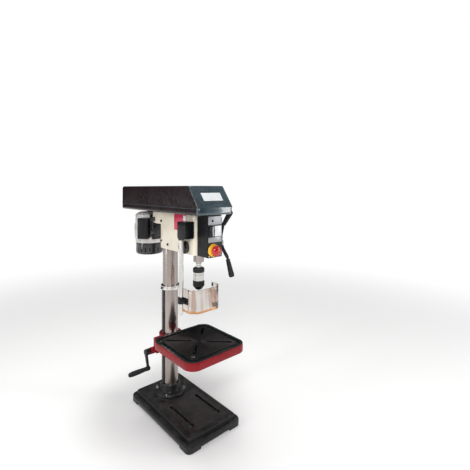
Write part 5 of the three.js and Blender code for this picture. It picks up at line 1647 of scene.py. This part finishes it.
def build_switch_box(s):
    lo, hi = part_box("guard_switch_box")
    axis = middle("guard_tube")
    body = block("guard_switch_case", lo, hi)
    soften(body, s.box_edge, 4)
    seam = block("seam", (lo.x - MM, lo.y - MM, hi.z - 15 * MM),
                 (hi.x - 3 * MM, hi.y + MM, hi.z - 14 * MM))
    core = block("core", (lo.x + 0.8 * MM, lo.y + 0.8 * MM, hi.z - 20 * MM),
                 (hi.x, hi.y - 0.8 * MM, hi.z - 8 * MM))
    cut(seam, core)
    cut(body, seam)
    socket = turned("socket", [(9.4 * MM, lo.z - MM), (9.4 * MM, lo.z + 40 * MM)],
                    at=(axis.x, axis.y, 0), sides=48)
    cut(body, socket)
    nut = turned("nut",
                 [(9.3 * MM, 0), (13 * MM, 0), (13.6 * MM, MM), (13.6 * MM, 7 * MM),
                  (12 * MM, 8.2 * MM), (9.3 * MM, 8.2 * MM), (9.3 * MM, 0)],
                 at=(axis.x, axis.y, lo.z - 7.6 * MM), sides=48)
    done(body, "black_plastic", "guard_switch_box")
    nut.name = nut.data.name = "guard_post_bush"
    done(nut, "black_gloss", body="frame", slot="black_plastic")
    for number, (y,
                 z) in enumerate(((hi.y - 7 * MM, hi.z - 22 * MM), (lo.y + 7 * MM, hi.z - 22 * MM),
                                  (hi.y - 7 * MM, lo.z + 8 * MM))):
        done(screw_head(f"guard_case_screw_{number + 1}", 2.8 * MM, 1.6 * MM,
                        (lo.x + 0.6 * MM, y, z), "-X"), "dark_steel", body="frame",
                        slot="dark_steel")


def build_shield():
    """A clear sheet bent round the chuck, drawn along its outline and then given its thickness."""
    lo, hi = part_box("guard_shield")
    turn = 26 * MM
    outline = [
        (lo.x, hi.y), (lo.x, lo.y + turn), (lo.x + turn, lo.y), (hi.x - turn, lo.y),
        (hi.x, lo.y + turn), (hi.x, hi.y),
    ]
    lay_down_tools()
    bpy.ops.mesh.primitive_plane_add(size=1, location=(0, 0, 0))
    shield = named("chuck_shield")
    with editing(shield, "VERT"):
        mesh = bmesh.from_edit_mesh(shield.data)
        mesh.verts.ensure_lookup_table()
        for vertex, (x, y, z) in zip(mesh.verts,
                                     ((*outline[0], lo.z), (*outline[1], lo.z),
                                      (*outline[0], hi.z), (*outline[1], hi.z))):
            vertex.co = (x, y, z)
        bmesh.update_edit_mesh(shield.data)
        for (x0, y0), (x1, y1) in zip(outline[1:], outline[2:]):
            choose(shield, "EDGE", lambda place,
                   run: abs(place.x - x0) < 1e-5 and abs(place.y - y0) < 1e-5)
            bpy.ops.mesh.extrude_region_move(TRANSFORM_OT_translate={"value": (x1 - x0, y1 - y0,
                    0)})
        choose(shield, "EDGE", lambda place, run: abs(run.z) > 0.9 and place.y < hi.y - MM)
        bpy.ops.mesh.bevel(offset=9 * MM, segments=5, affect="EDGES")
        bpy.ops.mesh.select_all(action="SELECT")
        bpy.ops.mesh.normals_make_consistent(inside=False)
    centre = (lo + hi) / 2
    faces = shield.data.polygons
    outwards = sum((f.center - centre).xy.dot(f.normal.xy) * f.area for f in faces) > 0
    apply(shield, "SOLIDIFY", thickness=3 * MM, offset=-1.0 if outwards else 1.0)
    if not outwards:
        with editing(shield, "FACE"):
            bpy.ops.mesh.select_all(action="SELECT")
            bpy.ops.mesh.normals_make_consistent(inside=False)
    soften(shield, 0.5 * MM, 2, 50)
    done(shield, "clear_plastic", "guard_shield")
    hook = block("shield_clip", (hi.x - 4.4 * MM, hi.y - 13 * MM, hi.z - 17 * MM),
                 (hi.x - 3.05 * MM, hi.y - 1.5 * MM, hi.z - 2 * MM))
    soften(hook, 0.5 * MM)
    done(hook, "black_plastic", body="guard", slot="black_plastic")


# ---------- control box ----------


def build_control_box():
    s = sizes()
    lo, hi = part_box("control_box")
    body = block("control_case", lo, hi)
    with editing(body, "EDGE"):
        choose(body, "EDGE", lambda place, run: abs(run.y) > 0.9 or place.y > hi.y - MM)
        bpy.ops.mesh.bevel(offset=s.box_edge, segments=4, affect="EDGES")
    grow_face(body, (0, -1, 0), (3 * MM, -60 * MM))
    hole = turned("hole", [(8.4 * MM, -6 * MM), (8.4 * MM, 6 * MM)],
                  at=(hi.x, middle("cord_gland").y, middle("cord_gland").z), along="X", sides=32)
    cut(body, hole)
    done(body, "black_plastic", "control_box")
    build_panel(s)
    build_rocker()
    build_stop()
    build_gland(hi)


def build_panel(s):
    lo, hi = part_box("control_panel")
    face = lo.y
    panel = block("control_face", lo, hi)
    with editing(panel, "EDGE"):
        choose(panel, "EDGE", lambda place, run: abs(run.y) > 0.9)
        bpy.ops.mesh.bevel(offset=s.box_edge, segments=4, affect="EDGES")
    rocker_lo, rocker_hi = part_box("power_switch")
    window = block("window", (rocker_lo.x - 0.8 * MM, lo.y - MM, rocker_lo.z - 2.4 * MM),
                   (rocker_hi.x + 0.8 * MM, hi.y + MM, rocker_hi.z + 2.4 * MM))
    stem = turned("stem", [(7.4 * MM, -9 * MM), (7.4 * MM, 9 * MM)],
                  at=(middle("estop_ring").x, face, middle("estop_ring").z), along="-Y", sides=32)
    cut(panel, window, stem)
    soften(panel, 0.6 * MM)
    done(panel, "black_plastic", "control_panel", slot="black_plastic")
    for name, box, paint in (
        ("control_plate_top", (3, 72, 36, 34), "panel_grey"),
        ("control_label_blank", (36, 71, 86, 43), "label_white"),
        ("control_plate_low", (3, 72, 62, 22), "panel_grey"),
    ):
        left, right, bottom, tall = (v * MM for v in box)
        if name == "control_plate_top":
            bottom = hi.z - lo.z - 38 * MM
        plate = block(name, (lo.x + left, face - 1.0 * MM, lo.z + bottom),
                      (lo.x + right, face + 0.4 * MM, lo.z + bottom + tall))
        soften(plate, 0.35 * MM)
        done(plate, paint, body="frame", slot="panel_grey")
    bezel = block("rocker_bezel", (rocker_lo.x - 3 * MM, face - 2.2 * MM, rocker_lo.z - 4.5 * MM),
                  (rocker_hi.x + 3 * MM, face + 0.3 * MM, rocker_hi.z + 4.5 * MM))
    cut(bezel,
        block("window", (rocker_lo.x - 0.7 * MM, face - 9 * MM, rocker_lo.z - 1.4 * MM),
              (rocker_hi.x + 0.7 * MM, face + 9 * MM, rocker_hi.z + 1.4 * MM)))
    soften(bezel, 0.7 * MM, 3)
    done(bezel, "black_gloss", body="frame", slot="black_plastic")
    lamp = turned("pilot_lamp",
                  [(5 * MM, 0), (5 * MM, 1.4 * MM), (4 * MM, 2 * MM), (3.6 * MM, 3.4 * MM),
                   (1.5 * MM, 4.4 * MM)],
                  at=(lo.x + 24 * MM, face - 0.9 * MM, hi.z - 22 * MM), along="-Y",
                  sides=s.small_sides)
    done(lamp, "black_gloss", body="frame", slot="black_plastic")
    for number, (x, z) in enumerate(((6, 6), (69, 6), (6, 166), (69, 166))):
        screw = screw_head(f"control_screw_{number + 1}", 2.6 * MM, 1.6 * MM,
                           (lo.x + x * MM, face - 0.7 * MM, lo.z + z * MM), "-Y")
        done(screw, "bright_steel", body="frame", slot="dark_steel")


def build_rocker():
    rocker = refined("power_switch", "power_rocker", 0.9 * MM, 3)
    done(rocker, "black_gloss", "power_switch")


def build_stop():
    lo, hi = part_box("estop_ring")
    at = middle("estop_ring")
    outer = (hi.x - lo.x) / 2
    deep = hi.y - lo.y
    profile = [(7.5 * MM, 0), (outer - 0.8 * MM, 0), (outer, 0.8 * MM), (outer - 0.4 * MM, 3 * MM),
               (outer - 4 * MM, deep - 2 * MM), (outer - 6 * MM, deep),
               (14 * MM, deep), (13 * MM, deep - 2 * MM), (7.5 * MM, deep - 2 * MM), (7.5 * MM, 0)]
    ring = turned("stop_button_ring", profile, at=(at.x, hi.y, at.z), along="-Y")
    done(ring, "yellow_plastic", "estop_ring")
    lo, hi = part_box("estop_button")
    outer = (hi.x - lo.x) / 2
    deep = hi.y - lo.y
    cap = deep - 17 * MM
    profile = [
        (7 * MM, 0), (7 * MM, cap), (outer - 3 * MM, cap), (outer - 0.6 * MM, cap + 1.2 * MM),
        (outer, cap + 3.4 * MM),
        (outer - 0.2 * MM, cap + 7 * MM), (outer - 1.6 * MM, cap + 11 * MM),
        (outer - 5 * MM, cap + 14 * MM), (outer - 11 * MM, cap + 16.4 * MM), (3 * MM, deep),
    ]
    button = turned("stop_button_head", profile, at=(at.x, hi.y, at.z), along="-Y")
    done(button, "red_plastic", "estop_button", angle=50)


def build_gland(case_high):
    at = middle("cord_gland")
    nut = turned("cord_gland_body",
                 [(4 * MM, -9 * MM), (8 * MM, -9 * MM), (8 * MM, 0.3 * MM), (12 * MM, 0.3 * MM),
                  (12 * MM, 6.2 * MM), (10.8 * MM, 7.2 * MM), (4 * MM, 7.2 * MM),
                  (4 * MM, -9 * MM)],
                 at=(case_high.x, at.y, at.z), along="X", sides=6)
    dome = turned("dome",
                  [(4 * MM, 7.4 * MM), (9.6 * MM, 7.4 * MM), (9.8 * MM, 9 * MM),
                   (9.2 * MM, 13 * MM), (7.4 * MM, 16.4 * MM), (6.4 * MM, 17.8 * MM),
                   (4 * MM, 17.8 * MM), (4 * MM, 7.4 * MM)],
                  at=(case_high.x, at.y, at.z), along="X", sides=40)
    soften(nut, 0.5 * MM)
    join(nut, dome)
    done(nut, "black_plastic", "cord_gland")


# ---------- floor, lights and camera ----------


def build_studio():
    studio = bpy.context.scene.drill_studio
    lay_down_tools()
    bpy.ops.mesh.primitive_circle_add(vertices=96, radius=studio.floor_size / 2, fill_type="NGON",
                                      location=(0, 0, -0.5 * MM))
    floor = named("studio_floor")
    settle()
    material, tree, shader = new_material("studio_floor", 0.6)
    surface = place_group(tree, surface_group(), Blotch_Scale=1.5, Grain_Scale=300.0)
    body = blend_colour(tree, surface.outputs["Blotch"], scaled(studio.floor, 0.99), studio.floor)
    # The floor glows though it is no lamp: a painted glow, dim within about 0.22 m of its middle
    # as painted shade round the machine, brighter further out, and pure white far away where the
    # floor's own colour fades to black.
    reach = tree.nodes.new("ShaderNodeVectorMath")
    reach.operation = "LENGTH"
    tree.links.new(stretched(tree, (1, 1, 1)), reach.inputs[0])
    far = ramp(tree, reach.outputs["Value"], 0.9, 3.6)
    tree.links.new(blend_colour(tree, far, body, (0.0, 0.0, 0.0)), shader.inputs["Base Color"])
    near = ramp(tree, reach.outputs["Value"], 0.22, 0.46)
    glow = blend_colour(tree, near, scaled(studio.floor, 0.02), scaled(studio.floor, 0.24))
    glow = blend_colour(tree, far, glow, (1.0, 1.0, 1.0))
    tree.links.new(glow, shader.inputs["Emission Color"])
    shader.inputs["Emission Strength"].default_value = 1.0
    floor.data.materials.append(material)
    world = bpy.data.worlds.new("white_room")
    world.use_nodes = True
    tree = world.node_tree
    room = tree.nodes["Background"]
    tree.links.new(room_panels(tree), room.inputs["Color"])
    room.inputs["Strength"].default_value = studio.sky
    backdrop = tree.nodes.new("ShaderNodeBackground")
    backdrop.inputs["Color"].default_value = (1.0, 1.0, 1.0, 1.0)
    choice = tree.nodes.new("ShaderNodeMixShader")
    tree.links.new(tree.nodes.new("ShaderNodeLightPath").outputs["Is Camera Ray"],
                   choice.inputs[0])
    tree.links.new(room.outputs[0], choice.inputs[1])
    tree.links.new(backdrop.outputs[0], choice.inputs[2])
    tree.links.new(choice.outputs[0], tree.nodes["World Output"].inputs["Surface"])
    bpy.context.scene.world = world
    bpy.context.scene.view_settings.view_transform = "Standard"
    lamp("key_softbox", studio.key, (-1.5, -2.1, 2.0), (0.05, -0.1, 0.55), (0.7, 1.4))
    lamp("side_strip", studio.fill, (-2.2, 0.3, 1.2), (0.0, 0.0, 0.6), (0.35, 1.8))
    lamp("front_strip", studio.fill, (1.7, -1.9, 1.3), (0.05, -0.1, 0.6), (0.35, 1.8))
    lamp("top_softbox", studio.key, (0.2, 0.55, 2.9), (0.05, 0.0, 0.4), (1.6, 1.6))
    lay_down_tools()
    bpy.ops.object.camera_add(location=studio.place, rotation=(math.radians(90), 0, -studio.turn))
    camera = named("view_camera")
    camera.data.sensor_width = 36
    camera.data.lens = studio.lens
    camera.data.shift_y = studio.shift
    camera.data.clip_end = 60
    bpy.context.scene.camera = camera


def room_panels(tree):
    """Soft white walls with two dark gaps, so that round steel shows bands."""
    parts = tree.nodes.new("ShaderNodeSeparateXYZ")
    tree.links.new(tree.nodes.new("ShaderNodeTexCoord").outputs["Generated"], parts.inputs[0])
    light = 1.0
    for bearing, narrow in ((math.radians(284), 0.78), (math.radians(85), 0.60)):
        along = maths(tree, "ADD", maths(tree, "MULTIPLY", parts.outputs["X"], math.cos(bearing)),
                      maths(tree, "MULTIPLY", parts.outputs["Y"], math.sin(bearing)))
        light = maths(tree, "MULTIPLY", ramp(tree, along, narrow, 0.96, 1.0, 0.05), light)
    return blend_colour(tree, light, (0.0, 0.0, 0.0), (0.97, 0.985, 1.0))


def lamp(name, power, place, target, spread):
    lay_down_tools()
    bpy.ops.object.light_add(type="AREA", location=place)
    obj = named(name)
    obj.data.shape = "RECTANGLE"
    obj.data.size, obj.data.size_y = spread
    obj.data.energy = power
    aim = Vector(target) - Vector(place)
    obj.rotation_euler = aim.to_track_quat("-Z", "Y").to_euler()


# ---------- operators and panel ----------


class PieceOperator:
    bl_options = {"REGISTER", "UNDO"}
    steps = ()

    def execute(self, context):
        for step in type(self).steps:
            step()
        return {"FINISHED"}


class DRILL_OT_base(PieceOperator, bpy.types.Operator):
    """Model the cast base with its slots and the column flange with its bolts"""

    bl_idname = "drill.base"
    bl_label = "Base and flange"
    steps = (build_base, build_flange)


class DRILL_OT_column(PieceOperator, bpy.types.Operator):
    """Model the ground column, the lift rack and its collar"""

    bl_idname = "drill.column"
    bl_label = "Column and rack"
    steps = (build_column,)


class DRILL_OT_table(PieceOperator, bpy.types.Operator):
    """Model the table with its rim, trough and slots"""

    bl_idname = "drill.table"
    bl_label = "Table"
    steps = (build_table,)


class DRILL_OT_bracket(PieceOperator, bpy.types.Operator):
    """Model the table bracket, its clamp and the lifting crank"""

    bl_idname = "drill.bracket"
    bl_label = "Bracket and crank"
    steps = (build_bracket, build_crank)


class DRILL_OT_head(PieceOperator, bpy.types.Operator):
    """Model the head casting, its plates and its screws"""

    bl_idname = "drill.head"
    bl_label = "Head"
    steps = (build_head,)


class DRILL_OT_cover(PieceOperator, bpy.types.Operator):
    """Model the two halves of the belt cover and their hinge"""

    bl_idname = "drill.cover"
    bl_label = "Belt cover"
    steps = (build_cover,)


class DRILL_OT_drive(PieceOperator, bpy.types.Operator):
    """Model the step pulleys and belts"""

    bl_idname = "drill.drive"
    bl_label = "Pulleys and belts"
    steps = (build_drive,)


class DRILL_OT_motor(PieceOperator, bpy.types.Operator):
    """Model the motor, its fan cover, terminal box and sliding plate"""

    bl_idname = "drill.motor"
    bl_label = "Motor"
    steps = (build_motor, build_motor_mount)


class DRILL_OT_quill(PieceOperator, bpy.types.Operator):
    """Model the quill, spindle and chuck"""

    bl_idname = "drill.quill"
    bl_label = "Quill and chuck"
    steps = (build_quill, build_chuck)


class DRILL_OT_feed(PieceOperator, bpy.types.Operator):
    """Model the feed hub, its arms and grips, and the return spring"""

    bl_idname = "drill.feed"
    bl_label = "Feed"
    steps = (build_feed, build_spring)


class DRILL_OT_guard(PieceOperator, bpy.types.Operator):
    """Model the chuck guard, its post and its switch box"""

    bl_idname = "drill.guard"
    bl_label = "Chuck guard"
    steps = (build_guard,)


class DRILL_OT_controls(PieceOperator, bpy.types.Operator):
    """Model the control box, rocker, stop button and cord gland"""

    bl_idname = "drill.controls"
    bl_label = "Controls"
    steps = (build_control_box,)


class DRILL_OT_studio(PieceOperator, bpy.types.Operator):
    """Make the floor, the lights and the camera"""

    bl_idname = "drill.studio"
    bl_label = "Studio"
    steps = (build_studio,)


OPERATORS = (
    DRILL_OT_base, DRILL_OT_column, DRILL_OT_table, DRILL_OT_bracket, DRILL_OT_head,
    DRILL_OT_cover,
    DRILL_OT_drive, DRILL_OT_motor, DRILL_OT_quill, DRILL_OT_feed, DRILL_OT_guard,
    DRILL_OT_controls, DRILL_OT_studio,
)


class DRILL_PT_panel(bpy.types.Panel):
    """Sizes, colours and pieces of the drill press"""

    bl_idname = "DRILL_PT_panel"
    bl_label = "Drill Press"
    bl_space_type = "VIEW_3D"
    bl_region_type = "UI"
    bl_category = "Drill Press"

    def draw(self, context):
        layout = self.layout
        for operator in OPERATORS:
            layout.operator(operator.bl_idname)
        for group in (context.scene.drill_sizes, context.scene.drill_colours,
                      context.scene.drill_studio):
            box = layout.box()
            for key in group.__annotations__:
                box.prop(group, key)


SETTINGS = {
    "drill_sizes": DrillPressSizes,
    "drill_colours": DrillPressColours,
    "drill_studio": DrillPressStudio,
}


def register():
    for name, group in SETTINGS.items():
        bpy.utils.register_class(group)
        setattr(bpy.types.Scene, name, bpy.props.PointerProperty(type=group))
    for cls in (*OPERATORS, DRILL_PT_panel):
        bpy.utils.register_class(cls)


def unregister():
    for cls in reversed((*OPERATORS, DRILL_PT_panel)):
        bpy.utils.unregister_class(cls)
    for name, group in SETTINGS.items():
        delattr(bpy.types.Scene, name)
        bpy.utils.unregister_class(group)


def main():
    register()
    for operator in OPERATORS:
        family, action = operator.bl_idname.split(".")
        getattr(getattr(bpy.ops, family), action)()
    lay_down_tools()


if __name__ == "__main__":
    main()
